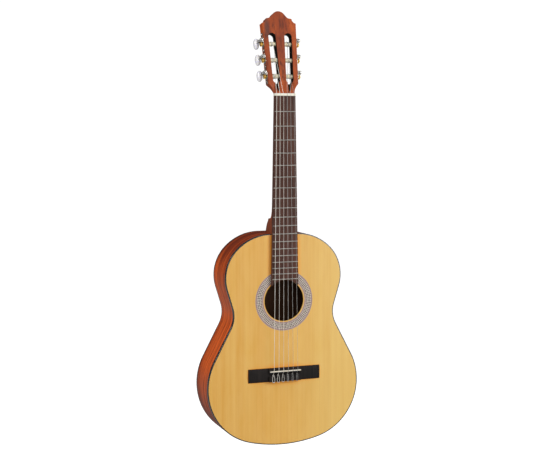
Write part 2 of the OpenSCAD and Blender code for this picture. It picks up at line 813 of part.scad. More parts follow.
// Flattened oval grip
module button(i) color(pearl) on_machine(side_of(i))
    translate([gear_x, 0, step_of(i) * roller_pitch + worm_z]) difference() {
        hull() for (s = [-1, 1])
            translate([
                0, (button_at[0] + button_at[1]) / 2,
                s * (button_len - button_at[1] + button_at[0]) / 2
            ])
                rotate([0, 90, 0]) button_disc();
        translate([0, button_at[0] - 1, 0]) rotate([-90, 0, 0])
            cylinder(h = button_at[1] - button_at[0] - button_wall, r = shaft_r + small_gap);
    }

// Rounded disc that the button is drawn out from
module button_disc() {
    r = (button_at[1] - button_at[0]) / 2;
    rotate_extrude($fn = 32) polygon(concat(
        [[0, -button_t / 2]],
        [for (a = [-60:30:60])
            [r - button_edge + button_edge * cos(a), button_t / 2 * sin(a) / sin(75)]],
        [[0, button_t / 2]]
    ));
}

// Brass worm wheel on its post, held by a slotted screw
module gear(i) color(brass) on_machine(side_of(i))
    translate([gear_x, axle_depth, step_of(i) * roller_pitch]) {
        difference() {
            union() {
                translate([-gear_w / 2, 0, 0]) rotate([90, 0, 90])
                    linear_extrude(gear_w) polygon(gear_points());
                translate([plate_t + 0.1 - gear_x, 0, 0]) rotate([0, 90, 0])
                    cylinder(h = gear_x - plate_t, r = 3.3);
            }
            rotate([0, 90, 0]) cylinder(h = 20, r = post_r + small_gap, center = true);
        }
        translate([gear_w / 2 + 0.05, 0, 0]) difference() {
            rotate([0, 90, 0]) union() {
                cylinder(h = 1.5, r1 = 3.4, r2 = 2.9);
                translate([0, 0, -5]) cylinder(h = 5.2, r = 1.2);
            }
            translate([0.8, -4, -0.35]) cube([2, 8, 0.7]);
        }
    }

// Teeth as straight-sided wedges, with one tooth pointing up the Y axis of the drawing
function gear_points() = [for (k = [0:gear_teeth - 1])
    for (q = [[-0.8, -0.64], [0, -0.42], [0.6, -0.22], [0.6, 0.22], [0, 0.42], [-0.8, 0.64]])
        let (r = gear_r + q[0], a = 90 - k * 360 / gear_teeth - atan(q[1] / r))
        r * [cos(a), sin(a)]];

// Nylon sleeve on a steel post, with the hole that takes the string's end
module roller(i) color(nylon_cream) on_machine(side_of(i))
    translate([0, axle_depth, step_of(i) * roller_pitch]) {
        difference() {
            translate([-roller_in, 0, 0]) rotate([0, 90, 0]) cylinder(h = roller_in - 0.1, r = roller_r);
            translate([-roller_in + 3, 0, 0]) rotate([0, 90, 0]) cylinder(h = 60, r = post_r + small_gap);
            translate([winding_x(i) - 3, 0, -10]) cylinder(h = 7.6, r = 0.8);
            translate([winding_x(i) - 3, 0, 2.4]) cylinder(h = 7.6, r = 0.8);
        }
        difference() {
            translate([-roller_in + 3.1, 0, 0]) rotate([0, 90, 0])
                cylinder(h = roller_in - 3.1 + gear_x + gear_w / 2, r = post_r);
            translate([gear_x + gear_w / 2 - 6, 0, 0]) rotate([0, 90, 0])
                cylinder(h = 8, r = 1.2 + small_gap);
        }
    }

// The string's turns on the roller, which turn with it
module winding(i) color(string_grey) on_machine(side_of(i))
    for (k = [1:winding_turns])
        translate([winding_x(i) + k * (2 * string_r(i) + winding_gap), axle_depth, step_of(i) * roller_pitch])
            rotate([0, 90, 0]) rotate_extrude() translate([winding_r(i), 0]) circle(string_r(i), $fn = 24);

soundboard();
back_plate();
rib(-1);  // rib_bass
rib(1);  // rib_treble
top_binding();
back_binding();
linings();
neck_block();
tail_block();
rosette();
soundhole_patch();
top_braces();
back_braces();
bridge();
saddle();
headstock();
neck();
heel_cap();
fingerboard();
frets();
nut();
machine_plate(-1);  // machine_plate_bass
machine_plate(1);  // machine_plate_treble
plate_screws();
for (i = [1:6]) {
    string(i);
    worm(i);
    button(i);
    gear(i);
    roller(i);
    winding(i);
}
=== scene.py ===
"""The looks of a classical guitar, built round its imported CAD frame.

Sizes are in millimetres in the row frame: X to the treble side, Y to the back, Z up the neck,
with the origin at the front edge of the nut. They become metres when a piece is made.
"""

import math

import bmesh
import bpy
from mathutils import Matrix, Vector


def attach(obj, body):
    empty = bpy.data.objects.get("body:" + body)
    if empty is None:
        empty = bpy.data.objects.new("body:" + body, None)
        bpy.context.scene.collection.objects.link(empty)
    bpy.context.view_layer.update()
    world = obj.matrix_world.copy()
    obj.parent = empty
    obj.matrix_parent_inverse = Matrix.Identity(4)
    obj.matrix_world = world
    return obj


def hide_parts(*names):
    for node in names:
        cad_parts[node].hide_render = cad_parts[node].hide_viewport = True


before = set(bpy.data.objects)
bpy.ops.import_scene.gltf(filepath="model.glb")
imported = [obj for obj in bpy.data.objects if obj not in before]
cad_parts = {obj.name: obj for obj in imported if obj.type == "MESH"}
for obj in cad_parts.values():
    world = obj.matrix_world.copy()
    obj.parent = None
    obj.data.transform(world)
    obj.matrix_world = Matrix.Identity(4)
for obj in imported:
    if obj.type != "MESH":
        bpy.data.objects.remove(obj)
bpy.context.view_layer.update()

MM = 0.001

# Sizes shared with the CAD model
SCALE = 650.0
Z_JOINT = -SCALE / 2
Z_TAIL = Z_JOINT - 510.0
DEPTH = 94.0
RIB_T = 2.5
BINDING_H = 6.2
TOP_T = 2.6
BACK_T = 2.8
HOLE_Z = Z_JOINT - 160.2
HOLE_R = 49.6
ROSETTE = (52.3, 72.6)
ROSETTE_T = 1.2
UPPER = (51.0, Z_JOINT - 103.0, 96.0)
WAIST = (190.0, Z_JOINT - 192.0, 63.0)
LOWER = (52.5, Z_JOINT - 364.0, 139.0)
JOINT_FLAT = 34.0
NUT_W = 52.0
JOINT_W = 63.0
BOARD_T = 7.5
NUT_T = 6.0
HEAD_Z = 5.0
FRETS = 19
SADDLE_Z = -SCALE - 3.4
SADDLE_H = 13.6
TIE_H = 9.6
STRING_D = (0.71, 0.82, 1.02, 0.74, 0.89, 1.09)
NUT_SPREAD = 43.5
SADDLE_SPREAD = 60.5
BRIDGE_AHEAD = 6.9
BRIDGE_DEEP = 33.0
TIE_BEHIND = (11.1, 25.5)
FLOOR_UNDER_NUT = BOARD_T + 1.1 + 0.15
TILT = math.radians(12)
FLARE = math.radians(1.95)
HEAD_Y = -2.0
HEAD_T = 20.0
HEAD_LEN = 200.0
HEAD_HALF = 38.0
HEAD_FOOT = 43.0
CHEEK = 12.0
SLOT_W = 18.0
SLOT_RUN = (25.0, 146.0)
PITCH = 39.0
AXLE = 9.0
ROLLER_R = 5.03
ROLLER_IN = CHEEK + SLOT_W + 6.0
GEAR_TEETH = 14
GEAR_MODULE = 0.75
GEAR_R = GEAR_TEETH * GEAR_MODULE / 2
GEAR_X = 5.6
GEAR_W = 3.2
WORM_Z = GEAR_R + 3.55
WORM_ROOT = 2.75
WORM_TIP = 4.15
WORM_HALF = 5.4
WORM_LEAD = math.pi * GEAR_MODULE
SHAFT_R = 2.0
LUG_AT = 6.2
LUG_T = 1.6
LUG_R = 5.0
PLATE_T = 1.2
BUTTON = (31.5, 50.5)
SCREWS = (-14.0, 23.5, 62.5, 101.0)
SIDES = ((-1, "bass"), (1, "treble"))


# ---- shapes

def assign(target, **settings):
    """Sets attributes by name and gives the target back."""
    for key, value in settings.items():
        setattr(target, key, value)
    return target


def ring_angles(n):
    return [2 * math.pi * k / n for k in range(n)]


def arc(centre, r, a0, a1, skip=0, step=1.5):
    """Points on an arc in degrees; skip leaves out that many of the first ones."""
    n = max(2, math.ceil(abs(a1 - a0) / step))
    angles = [math.radians(a0 + (a1 - a0) * i / n) for i in range(skip, n + 1)]
    return [(centre[0] + r * math.cos(a), centre[1] + r * math.sin(a)) for a in angles]


def half_outline(inset):
    """Right half of the body's outline in X and Z, moved in by inset, from neck to tail."""
    (ux, uz, ur), (wx, wz, wr), (lx, lz, lr) = UPPER, WAIST, LOWER
    dx, h = ux - JOINT_FLAT, Z_JOINT - uz
    top_r = (dx * dx + h * h - ur * ur) / (2 * (h - ur))
    top_z = Z_JOINT - top_r
    hb = lz - Z_TAIL
    end_r = (lx * lx + hb * hb - lr * lr) / (2 * (hb - lr))
    end_z = Z_TAIL + end_r

    def bearing(p, q):
        return math.degrees(math.atan2(q[1] - p[1], q[0] - p[0]))

    def lean(p, rp, q, rq):
        return math.degrees(math.acos((rp + rq) / math.hypot(q[0] - p[0], q[1] - p[1])))

    a_top = bearing((JOINT_FLAT, top_z), (ux, uz))
    a_waist = bearing((ux, uz), (wx, wz)) + lean((ux, uz), ur, (wx, wz), wr)
    a_hip = bearing((lx, lz), (wx, wz)) - lean((lx, lz), lr, (wx, wz), wr)
    a_end = bearing((0, end_z), (lx, lz))
    return (
        [(0.0, Z_JOINT - inset), (12.0, Z_JOINT - inset)]
        + arc((JOINT_FLAT, top_z), top_r - inset, 90, a_top)
        + arc((ux, uz), ur - inset, a_top, a_waist, 1)
        + arc((wx, wz), wr + inset, a_waist + 180, a_hip + 180)
        + arc((lx, lz), lr - inset, a_hip, a_end)
        + arc((0.0, end_z), end_r - inset, a_end, -90, 1)
    )


def both_halves(half):
    return half + [(-x, z) for x, z in half[-2:0:-1]]


def join(*shapes):
    """One shape made of several."""
    verts, faces = [], []
    for v, f in shapes:
        base = len(verts)
        verts += list(v)
        faces += [tuple(i + base for i in face) for face in f]
    return verts, faces


def moved(shape, matrix):
    return [matrix @ Vector(v) for v in shape[0]], shape[1]


def shift(x, y, z):
    return Matrix.Translation((x, y, z))


def loft(rings, caps=True, loop=False):
    """A skin over rings that all have the same number of points."""
    n, m = len(rings[0]), len(rings)
    verts = [p for ring in rings for p in ring]
    faces = []
    for i in range(m if loop else m - 1):
        j = (i + 1) % m
        for k in range(n):
            q = (k + 1) % n
            faces.append((i * n + k, i * n + q, j * n + q, j * n + k))
    if caps and not loop:
        faces.append(tuple(range(n - 1, -1, -1)))
        faces.append(tuple((m - 1) * n + k for k in range(n)))
    return verts, faces


def lathe(profile, around):
    """A turned shape round Z from (radius, height) pairs; a radius of 0 closes an end."""
    verts, faces, rows = [], [], []
    for r, h in profile:
        if r < 1e-6:
            rows.append([len(verts)])
            verts.append((0.0, 0.0, h))
        else:
            rows.append(list(range(len(verts), len(verts) + around)))
            verts += [(r * math.cos(a), r * math.sin(a), h) for a in ring_angles(around)]
    for low, high in zip(rows, rows[1:]):
        for k in range(around):
            q = (k + 1) % around
            face = tuple(dict.fromkeys((low[k % len(low)], low[q % len(low)],
                                        high[q % len(high)], high[k % len(high)])))
            if len(face) > 2:
                faces.append(face)
    return verts, faces


def rod(low, radius, high, around):
    """A round bar along Z between two heights."""
    return lathe([(0, low), (radius, low), (radius, high), (0, high)], around)


def soften(path, radius, steps=6):
    """The path with its corners rounded off."""
    out = [Vector(path[0])]
    for before, here, after in zip(path, path[1:], path[2:]):
        here, before, after = Vector(here), Vector(before), Vector(after)
        d0, d1 = before - here, after - here
        a = here + d0.normalized() * min(radius, d0.length * 0.45)
        b = here + d1.normalized() * min(radius, d1.length * 0.45)
        for i in range(steps + 1):
            t = i / steps
            out.append(a * (1 - t) ** 2 + here * 2 * t * (1 - t) + b * t * t)
    out.append(Vector(path[-1]))
    return out


def tube(path, radius, sides):
    """A round bar along a path."""
    pts = [Vector(p) for p in path]
    tangents = [(q - p).normalized() for p, q in zip(pts[:1] + pts[:-1], pts[1:] + pts[-1:])]
    u = tangents[0].orthogonal().normalized()
    rings = []
    for p, t in zip(pts, tangents):
        u = (u - t * u.dot(t)).normalized()
        w = t.cross(u)
        rings.append([p + (u * math.cos(a) + w * math.sin(a)) * radius
                      for a in ring_angles(sides)])
    return loft(rings)


def flat(loops, thickness, bevel=0.0, steps=2):
    """A plate in X and Y from Z 0 to thickness with rounded edges. Inner loops are holes."""
    curve = assign(bpy.data.curves.new("flat", "CURVE"), dimensions="2D", fill_mode="BOTH",
                   extrude=thickness / 2 - bevel, bevel_depth=bevel, bevel_resolution=steps,
                   offset=-bevel)
    for loop in loops:
        spline = curve.splines.new("POLY")
        spline.points.add(len(loop) - 1)
        for point, (x, y) in zip(spline.points, loop):
            point.co = (x, y, 0.0, 1.0)
        spline.use_cyclic_u = True
    holder = bpy.data.objects.new("flat", curve)
    mesh = bpy.data.meshes.new_from_object(holder)
    verts = [(v.co.x, v.co.y, v.co.z + thickness / 2) for v in mesh.vertices]
    faces = [tuple(p.vertices) for p in mesh.polygons]
    bpy.data.objects.remove(holder)
    bpy.data.curves.remove(curve)
    bpy.data.meshes.remove(mesh)
    return verts, faces


# A drawing's X and Y become X and Z, with its thickness along Y
UPRIGHT = Matrix(((1, 0, 0, 0), (0, 0, 1, 0), (0, 1, 0, 0), (0, 0, 0, 1)))
# A drawing's X and Y become Y and Z, with its thickness along X
SIDEWAYS = Matrix(((0, 0, 1, 0), (1, 0, 0, 0), (0, 1, 0, 0), (0, 0, 0, 1)))
# A turned shape's axis becomes X
ALONG_X = Matrix.Rotation(math.pi / 2, 4, "Y")


def slab(loops, y0, y1, bevel=0.0):
    """A plate drawn in X and Z, from y0 back to y1."""
    return moved(flat(loops, y1 - y0, bevel), shift(0, y0, 0) @ UPRIGHT)


def circle(x, y, r, n):
    return arc((x, y), r, 0, 360, step=360 / n)[:-1]


# ---- places on the head

HEAD = shift(0, HEAD_Y, HEAD_Z) @ Matrix.Rotation(-TILT, 4, "X")


def machine(side):
    """X out of the cheek, Y into the head, Z up from the lowest roller."""
    flip = Matrix.Diagonal((side, 1, 1, 1))
    return HEAD @ flip @ shift(HEAD_HALF, 0, HEAD_FOOT) @ Matrix.Rotation(FLARE, 4, "Y")


def side_of(i):
    return 1 if i <= 3 else -1


def step_of(i):
    return i - 1 if i <= 3 else 6 - i


def board_half(z):
    return NUT_W / 2 + (JOINT_W - NUT_W) / 2 * z / Z_JOINT


def fret_z(n):
    return -SCALE * (1 - 2 ** (-n / 12))


def string_x(i, spread):
    return spread / 2 - (i - 1) * spread / 5


def string_r(i):
    return STRING_D[i - 1] / 2


def nut_break(i):
    return Vector((string_x(i, NUT_SPREAD), -FLOOR_UNDER_NUT - string_r(i), 2.0))


def winding_x(i):
    return -19.5 - step_of(i) * 1.2


def winding_r(i):
    return ROLLER_R + string_r(i) + 0.04


def touch_angle(i):
    """Angle on the roller, from the machine's Z towards its Y, where the string arrives."""
    m = machine(side_of(i)).inverted() @ nut_break(i)
    dz, dy = m.z - step_of(i) * PITCH, m.y - AXLE
    return math.atan2(dy, dz) + math.acos(winding_r(i) / math.hypot(dz, dy))


def roller_touch(i):
    a, r = touch_angle(i), winding_r(i)
    local = (winding_x(i), AXLE + r * math.sin(a), step_of(i) * PITCH + r * math.cos(a))
    return machine(side_of(i)) @ Vector(local)


# ---- materials

def fill(tree, value, socket):
    """Links a socket to value or sets it. A colour of three numbers gets its alpha."""
    if isinstance(value, bpy.types.NodeSocket):
        tree.links.new(value, socket)
    elif isinstance(value, tuple) and len(value) == 3 and len(socket.default_value) == 4:
        socket.default_value = (*value, 1.0)
    else:
        socket.default_value = value


def add_node(tree, kind, inputs=None, **settings):
    """A shader node with its settings made and its inputs filled."""
    node = assign(tree.nodes.new("ShaderNode" + kind), **settings)
    for key, value in (inputs or {}).items():
        fill(tree, value, node.inputs[key])
    return node


class Look:
    """A principled material whose tone starts as one colour and takes others over it."""

    def __init__(self, name, tone):
        self.mat = bpy.data.materials.new(name)
        self.mat.use_nodes = True
        self.tree = self.mat.node_tree
        self.tone = tone
        self.place = self.add("TexCoord").outputs["Object"]

    def add(self, kind, inputs=None, **settings):
        return add_node(self.tree, kind, inputs, **settings)

    def done(self, **inputs):
        """Fills the shader's inputs, the tone among them, and gives back the material."""
        shader = next(n for n in self.tree.nodes if n.type == "BSDF_PRINCIPLED")
        for key, value in {"Base_Color": self.tone, **inputs}.items():
            fill(self.tree, value, shader.inputs[key.replace("_", " ")])
        return self.mat

    def noise(self, vector, scale, detail=2.0, rough=0.5, distortion=0.0):
        """Noise of one scale, or of a scale for each axis."""
        if isinstance(scale, tuple):
            vector = self.add("Mapping", {"Vector": vector, "Scale": scale}).outputs["Vector"]
            scale = 1.0
        return self.add("TexNoise", {"Vector": vector, "Scale": scale, "Detail": detail,
                                     "Roughness": rough, "Distortion": distortion}).outputs["Fac"]

    def math(self, operation, a, b=0.0):
        return self.add("Math", {0: a, 1: b}, operation=operation).outputs[0]

    def times(self, a, b):
        return self.math("MULTIPLY", a, b)

    def length(self, a, b):
        return self.math("SQRT", self.math("ADD", self.times(a, a), self.times(b, b)))

    def split(self, vector):
        return self.add("SeparateXYZ", {0: vector}).outputs

    def combine(self, x, y, z):
        return self.add("CombineXYZ", {0: x, 1: y, 2: z}).outputs[0]

    def spread(self, value, low, high, to_low=0.0, to_high=1.0):
        return self.add("MapRange", {"Value": value, "From Min": low, "From Max": high,
                                     "To Min": to_low, "To Max": to_high}).outputs[0]

    def cover(self, colour, amount):
        """Lays a colour over the tone."""
        mix = self.add("Mix", {"Factor": amount, 6: self.tone, 7: colour}, data_type="RGBA")
        self.tone = mix.outputs[2]

    def paint(self, colour, source, low, high, most=1.0):
        """Lays a colour over the tone as source goes from low to high, up to most."""
        self.cover(colour, self.spread(source, low, high, 0.0, most))

    def bump(self, height, strength, distance):
        return self.add("Bump", {"Height": height, "Strength": strength,
                                 "Distance": distance}).outputs["Normal"]


def spruce(name):
    """Straight fine grain along Z, mirrored at the centre joint, with broad soft streaks."""
    look = Look(name, (0.80, 0.485, 0.120))
    x, y, z = look.split(look.place)
    mirrored = look.combine(look.math("ABSOLUTE", x), y, z)
    rings = look.noise(mirrored, (820, 200, 3.2), detail=2.5)
    streaks = look.noise(mirrored, (95, 20, 1.1), detail=3.0, rough=0.6)
    silk = look.noise(mirrored, (35, 30, 9), detail=4.0, rough=0.6, distortion=0.4)
    glow = look.noise(look.place, (5, 5, 4), detail=1.0)
    look.paint((0.73, 0.375, 0.072), streaks, 0.3, 0.72)
    look.paint((0.58, 0.27, 0.05), rings, 0.50, 0.76, 0.42)
    look.paint((0.86, 0.57, 0.20), silk, 0.35, 0.7, 0.34)
    look.paint((0.78, 0.40, 0.08), glow, 0.3, 0.7, 0.25)
    # Painted sheen: the treble half turns paler towards its edge, where a soft highlight falls
    look.paint((0.85, 0.65, 0.23), x, 0.0, 0.15, 0.40)
    # Painted shade: beside taller pieces, such as the fingerboard and bridge, the wood turns a deep
    # amber where their shadow falls
    near = look.add("AmbientOcclusion", {"Distance": 0.014}, samples=6).outputs["AO"]
    look.paint((0.98, 0.34, 0.026), near, 0.96, 0.62, 0.92)
    return look.done(
        Roughness=look.spread(rings, 0.3, 0.8, 0.30, 0.42), Normal=look.bump(rings, 0.12, 0.00006),
        Specular_IOR_Level=0.25, Coat_Weight=0.08, Coat_Roughness=0.25
    )


def streaked_wood(name, light, dark, streak, rough, coat, grain_uv=False, figure=(7, 190),
                  pores=0.35, bump=0.25, shine=0.2, dark_reflection=None, ends=None):
    """Reddish or brown wood with dark streaks and short open pores along its grain.

    grain_uv takes the grain's direction from the UV map: U along it, in metres. Otherwise the
    grain runs along Z. smoke is a painted dark reflection on the glossy front: its centre in X
    and Z, and its reach. ends are two heights in Z: above and below them the wood turns darker,
    as painted shade, and between them it is a little lighter, as painted light.
    """
    look = Look(name, light)
    x, y, z = look.split(look.place)
    flow = look.place
    if grain_uv:
        u, v, _ = look.split(look.add("TexCoord").outputs["UV"])
        flow = look.combine(v, 0.0, u)
    along, across = figure
    wide = look.noise(flow, (across / 3, across / 3, along / 2.5), detail=3.0, rough=0.55,
                      distortion=0.5)
    fine = look.noise(flow, (across, across, along), detail=4.0, rough=0.62, distortion=0.25)
    dots = look.noise(flow, (2300, 2300, 90), detail=1.0)
    # Painted shade: darker above the first height, towards the heel, and below the second, towards
    # the tail; a little lighter between them, as painted light
    if ends:
        upper = look.spread(z, ends[0] - 0.035, ends[0] + 0.02, -0.09, 0.14)
        lower = look.spread(z, ends[1] + 0.07, ends[1] - 0.07, 0.0, 0.38)
        wide = look.math("ADD", wide, look.math("ADD", upper, lower))
    look.paint(dark, wide, 0.32, 0.68)
    look.paint(streak, fine, 0.50, 0.70, 0.85)
    look.paint(streak, dots, 0.60, 0.72, pores)
    # Painted reflection: a dark patch on the glossy front only, standing for something dark
    # mirrored in the lacquer
    if dark_reflection:
        at_x, at_z, reach_x, reach_z = dark_reflection
        far = look.length(look.math("DIVIDE", look.math("SUBTRACT", x, at_x), reach_x),
                          look.math("DIVIDE", look.math("SUBTRACT", z, at_z), reach_z))
        stain = look.times(look.spread(far, 1.0, 0.3, 0.0, 0.72), look.spread(y, 0.048, 0.038))
        look.cover((0.085, 0.050, 0.045), stain)
    return look.done(
        Roughness=look.spread(fine, 0.3, 0.8, rough, rough + 0.14),
        Normal=look.bump(dots, bump, 0.00008), Specular_IOR_Level=shine, Coat_Weight=coat,
        Coat_Roughness=0.15
    )


def mosaic(name):
    """Fine grey and mauve mosaic in polar cells, between thin border lines."""
    look = Look(name, (0.060, 0.050, 0.058))
    axes = look.split(look.place)
    x, dz = axes[0], look.math("SUBTRACT", axes[2], HOLE_Z * MM)
    t = look.spread(look.length(x, dz), ROSETTE[0] * MM, ROSETTE[1] * MM)
    turns = look.times(look.math("ARCTAN2", dz, x), 50 / (2 * math.pi))
    # Two crossing diagonal weaves of small tiles
    lean = look.times(t, 2.6)
    weaves = [look.math("SINE", look.times(look.math(sense, turns, lean), 2 * math.pi))
              for sense in ("ADD", "SUBTRACT")]
    cells = look.add("TexVoronoi", {"Vector": look.place, "Scale": 1150.0})
    grit = look.split(cells.outputs["Color"])[0]
    blots = look.noise(look.place, 420.0, detail=1.0)
    look.paint((0.74, 0.65, 0.55), look.times(*weaves), -0.16, 0.16)
    look.paint((0.10, 0.065, 0.075), blots, 0.56, 0.66, 0.55)
    look.paint((0.78, 0.70, 0.60), blots, 0.44, 0.34, 0.45)
    look.paint((0.22, 0.11, 0.13), grit, 0.70, 0.74, 0.25)
    # Mauve bands along both edges, each between two thin red-brown lines
    off = look.math("ABSOLUTE", look.math("SUBTRACT", t, 0.5))
    look.cover((0.42, 0.31, 0.31), look.times(look.math("GREATER_THAN", off, 0.33), 0.8))
    for place in (0.34, 0.43):
        line = look.math("ABSOLUTE", look.math("SUBTRACT", off, place))
        look.paint((0.24, 0.12, 0.12), line, 0.026, 0.014, 0.65)
    return look.done(Roughness=look.spread(grit, 0, 1, 0.35, 0.5), Coat_Weight=0.05,
                     Specular_IOR_Level=0.25, Normal=look.bump(grit, 0.06, 0.00004))


def metal(name, colour, rough, brushed=(900, 60, 60), tint=(0.5, 0.42, 0.30), grime=0.25):
    """Plated metal with fine brushing, faint tarnish and uneven polish."""
    look = Look(name, colour)
    lines = look.noise(look.place, brushed)
    cloud = look.noise(look.place, 240.0, detail=4.0, rough=0.6)
    look.paint(tint, cloud, 0.45, 0.75, grime)
    return look.done(Metallic=1.0, Roughness=look.spread(cloud, 0.3, 0.7, rough, rough + 0.16),
                     Normal=look.bump(lines, 0.10, 0.00003))


def plastic(name, colour, dark, rough, coat=0.3, scale=260.0, subsurface=0.0):
    """Moulded or polished material with faint mottling and handling marks."""
    look = Look(name, colour)
    cloud = look.noise(look.place, scale, detail=4.0, rough=0.55)
    marks = look.noise(look.place, (1500, 1500, 160))
    look.paint(dark, cloud, 0.35, 0.72)
    depth = {}
    if subsurface:
        depth = {"Subsurface_Weight": subsurface, "Subsurface_Radius": (0.004, 0.004, 0.005),
                 "Subsurface_Scale": 0.6}
    return look.done(
        Roughness=look.spread(marks, 0.3, 0.7, rough, rough + 0.10),
        Normal=look.bump(marks, 0.05, 0.00003), Coat_Weight=coat, Coat_Roughness=0.1, **depth
    )


def pearl_look(name):
    """Milky pearl with soft flowing bands that change from white to blue-violet."""
    look = Look(name, (0.93, 0.93, 0.95))
    flow = look.noise(look.place, 130.0, detail=3.0, rough=0.6, distortion=2.2)
    bands = look.noise(look.place, (90, 60, 230), distortion=1.5)
    look.paint((0.80, 0.79, 0.89), flow, 0.35, 0.68)
    look.paint((0.97, 0.96, 0.95), bands, 0.50, 0.72, 0.55)
    # Painted shade: greyer towards its outline, where the surface turns away from view, and milky
    # in the middle
    rim = look.add("LayerWeight", {"Blend": 0.35}).outputs["Facing"]
    look.paint((0.50, 0.49, 0.62), rim, 0.45, 0.95, 0.65)
    # The faint white emission is painted light: the button glows a little, so that it reads milky
    # white
    return look.done(
        Roughness=0.16, Subsurface_Weight=0.45, Emission_Color=(0.97, 0.96, 1.0),
        Emission_Strength=0.16, Subsurface_Radius=(0.006, 0.006, 0.008), Subsurface_Scale=0.7,
        Coat_Weight=0.8, Coat_Roughness=0.05, Sheen_Weight=0.1
    )


def clear_string(name):
    """Clear nylon with a faint haze."""
    look = Look(name, (0.95, 0.94, 0.92))
    haze = look.noise(look.place, (400, 400, 18))
    look.paint((0.86, 0.85, 0.83), haze, 0.3, 0.7)
    return look.done(
        Roughness=look.spread(haze, 0.3, 0.7, 0.12, 0.22), Transmission_Weight=0.7, IOR=1.53
    )


def wound_string(name):
    """Fine silvered winding with its turns as a bump across the string."""
    look = Look(name, (0.86, 0.83, 0.77))
    axes = look.split(look.place)
    along = look.math("ADD", axes[2], look.times(axes[1], 0.6))
    turns = look.math("SINE", look.times(along, 2 * math.pi / 0.00032))
    tarnish = look.noise(look.place, (300, 300, 14), detail=3.0)
    look.paint((0.64, 0.58, 0.49), tarnish, 0.45, 0.7, 0.4)
    return look.done(Metallic=0.35, Roughness=look.spread(tarnish, 0.3, 0.7, 0.28, 0.42),
                     Normal=look.bump(turns, 0.5, 0.00008))


def pale_floor(name):
    look = Look(name, (0.46, 0.46, 0.45))
    look.paint((0.42, 0.42, 0.42), look.noise(look.place, 3.0), 0.3, 0.7)
    # The glow is only for the eye, so that the floor is white without lighting the body
    seen = look.add("LightPath").outputs["Is Camera Ray"]
    return look.done(
        Roughness=0.8, Emission_Color=(1.0, 1.0, 1.0), Emission_Strength=look.times(seen, 0.92)
    )


RED = ((0.90, 0.160, 0.030), (0.25, 0.037, 0.011), (0.040, 0.009, 0.006))
TOP = spruce("spruce_top")
# The ribs' ends paint shade towards the heel and the tail
RIBS = streaked_wood(
    "mahogany_ribs", *RED, 0.30, 0.03, grain_uv=True, shine=0.1, ends=(-0.372, -0.705)
)
BACK = streaked_wood("mahogany_back", *RED, 0.30, 0.06)
NECK = streaked_wood(
    "mahogany_neck", (0.34, 0.085, 0.030), (0.25, 0.056, 0.020), (0.110, 0.026, 0.012), 0.42, 0.0,
    figure=(9, 150), pores=0.3, shine=0.12
)
# The head's dark patch at its upper bass corner is a painted dark reflection
HEAD_WOOD = streaked_wood(
    "mahogany_head", (0.50, 0.100, 0.022), (0.25, 0.050, 0.021), (0.095, 0.028, 0.020), 0.38, 0.04,
    figure=(14, 130), pores=0.4, shine=0.12, dark_reflection=(-0.032, 0.163, 0.009, 0.032)
)
SLOT_DARK = streaked_wood(
    "slot_stain", (0.022, 0.016, 0.013), (0.012, 0.010, 0.009), (0.006, 0.005, 0.005), 0.6, 0.0,
    bump=0.15, shine=0.1
)
ROSEWOOD = streaked_wood(
    "rosewood_board", (0.115, 0.048, 0.034), (0.066, 0.028, 0.021), (0.020, 0.010, 0.008), 0.55,
    0.0, figure=(6, 260), pores=0.7, bump=0.5
)
EBONY = streaked_wood(
    "ebony_black", (0.019, 0.016, 0.015), (0.010, 0.009, 0.009), (0.030, 0.024, 0.022), 0.60, 0.0,
    figure=(8, 300), pores=0.4, bump=0.4, shine=0.1
)
# Wood inside the box, darkened well below its own tone as painted shade
INNER_SHADED = streaked_wood(
    "inner_wood_shaded", (0.085, 0.038, 0.018), (0.060, 0.026, 0.012), (0.030, 0.012, 0.006), 0.7, 0.0,
    bump=0.3
)
MOSAIC = mosaic("rosette_mosaic")
BINDING = plastic("black_binding", (0.012, 0.013, 0.018), (0.022, 0.023, 0.030), 0.16, coat=0.6)
BONE = plastic("bone", (0.92, 0.89, 0.79), (0.86, 0.81, 0.68), 0.30, coat=0.25, subsurface=0.2)
NYLON = plastic(
    "cream_nylon", (0.86, 0.80, 0.60), (0.74, 0.65, 0.42), 0.28, scale=420.0, subsurface=0.35
)
PEARL = pearl_look("pearl")
NICKEL = metal("nickel", (0.52, 0.50, 0.46), 0.14)
FRET_NICKEL = metal("fret_nickel", (0.40, 0.39, 0.36), 0.30, grime=0.15)
STEEL = metal("plated_steel", (0.48, 0.48, 0.49), 0.12, brushed=(60, 900, 60))
BRASS = metal("brass", (0.86, 0.58, 0.16), 0.22, tint=(0.45, 0.22, 0.05))
CLEAR_STRING = clear_string("clear_nylon_string")
WOUND_STRING = wound_string("wound_string")


# ---- making pieces

def make_mesh(name, shape, materials, weld, uv=None):
    """A mesh in metres from a shape in millimetres, its faces all facing out."""
    mesh = bpy.data.meshes.new(name)
    mesh.from_pydata([Vector(v) * MM for v in shape[0]], [], shape[1])
    if uv is not None:
        layer = mesh.uv_layers.new(name="grain")
        for loop in mesh.loops:
            layer.data[loop.index].uv = uv[loop.vertex_index]
    bm = bmesh.new()
    bm.from_mesh(mesh)
    if weld:
        bmesh.ops.remove_doubles(bm, verts=bm.verts, dist=1e-6)
        bmesh.ops.dissolve_degenerate(bm, edges=bm.edges, dist=1e-7)
    bmesh.ops.recalc_face_normals(bm, faces=bm.faces)
    bm.to_mesh(mesh)
    bm.free()
    for material in materials:
        mesh.materials.append(material)
    return mesh


def shown(name, data):
    """A new object, placed in the scene."""
    obj = bpy.data.objects.new(name, data)
    bpy.context.scene.collection.objects.link(obj)
    return obj


def shade(mesh, angle):
    """Smooth shading that keeps the edges sharper than angle, in degrees."""
    mesh.shade_smooth()
    mesh.set_sharp_from_angle(angle=math.radians(angle))


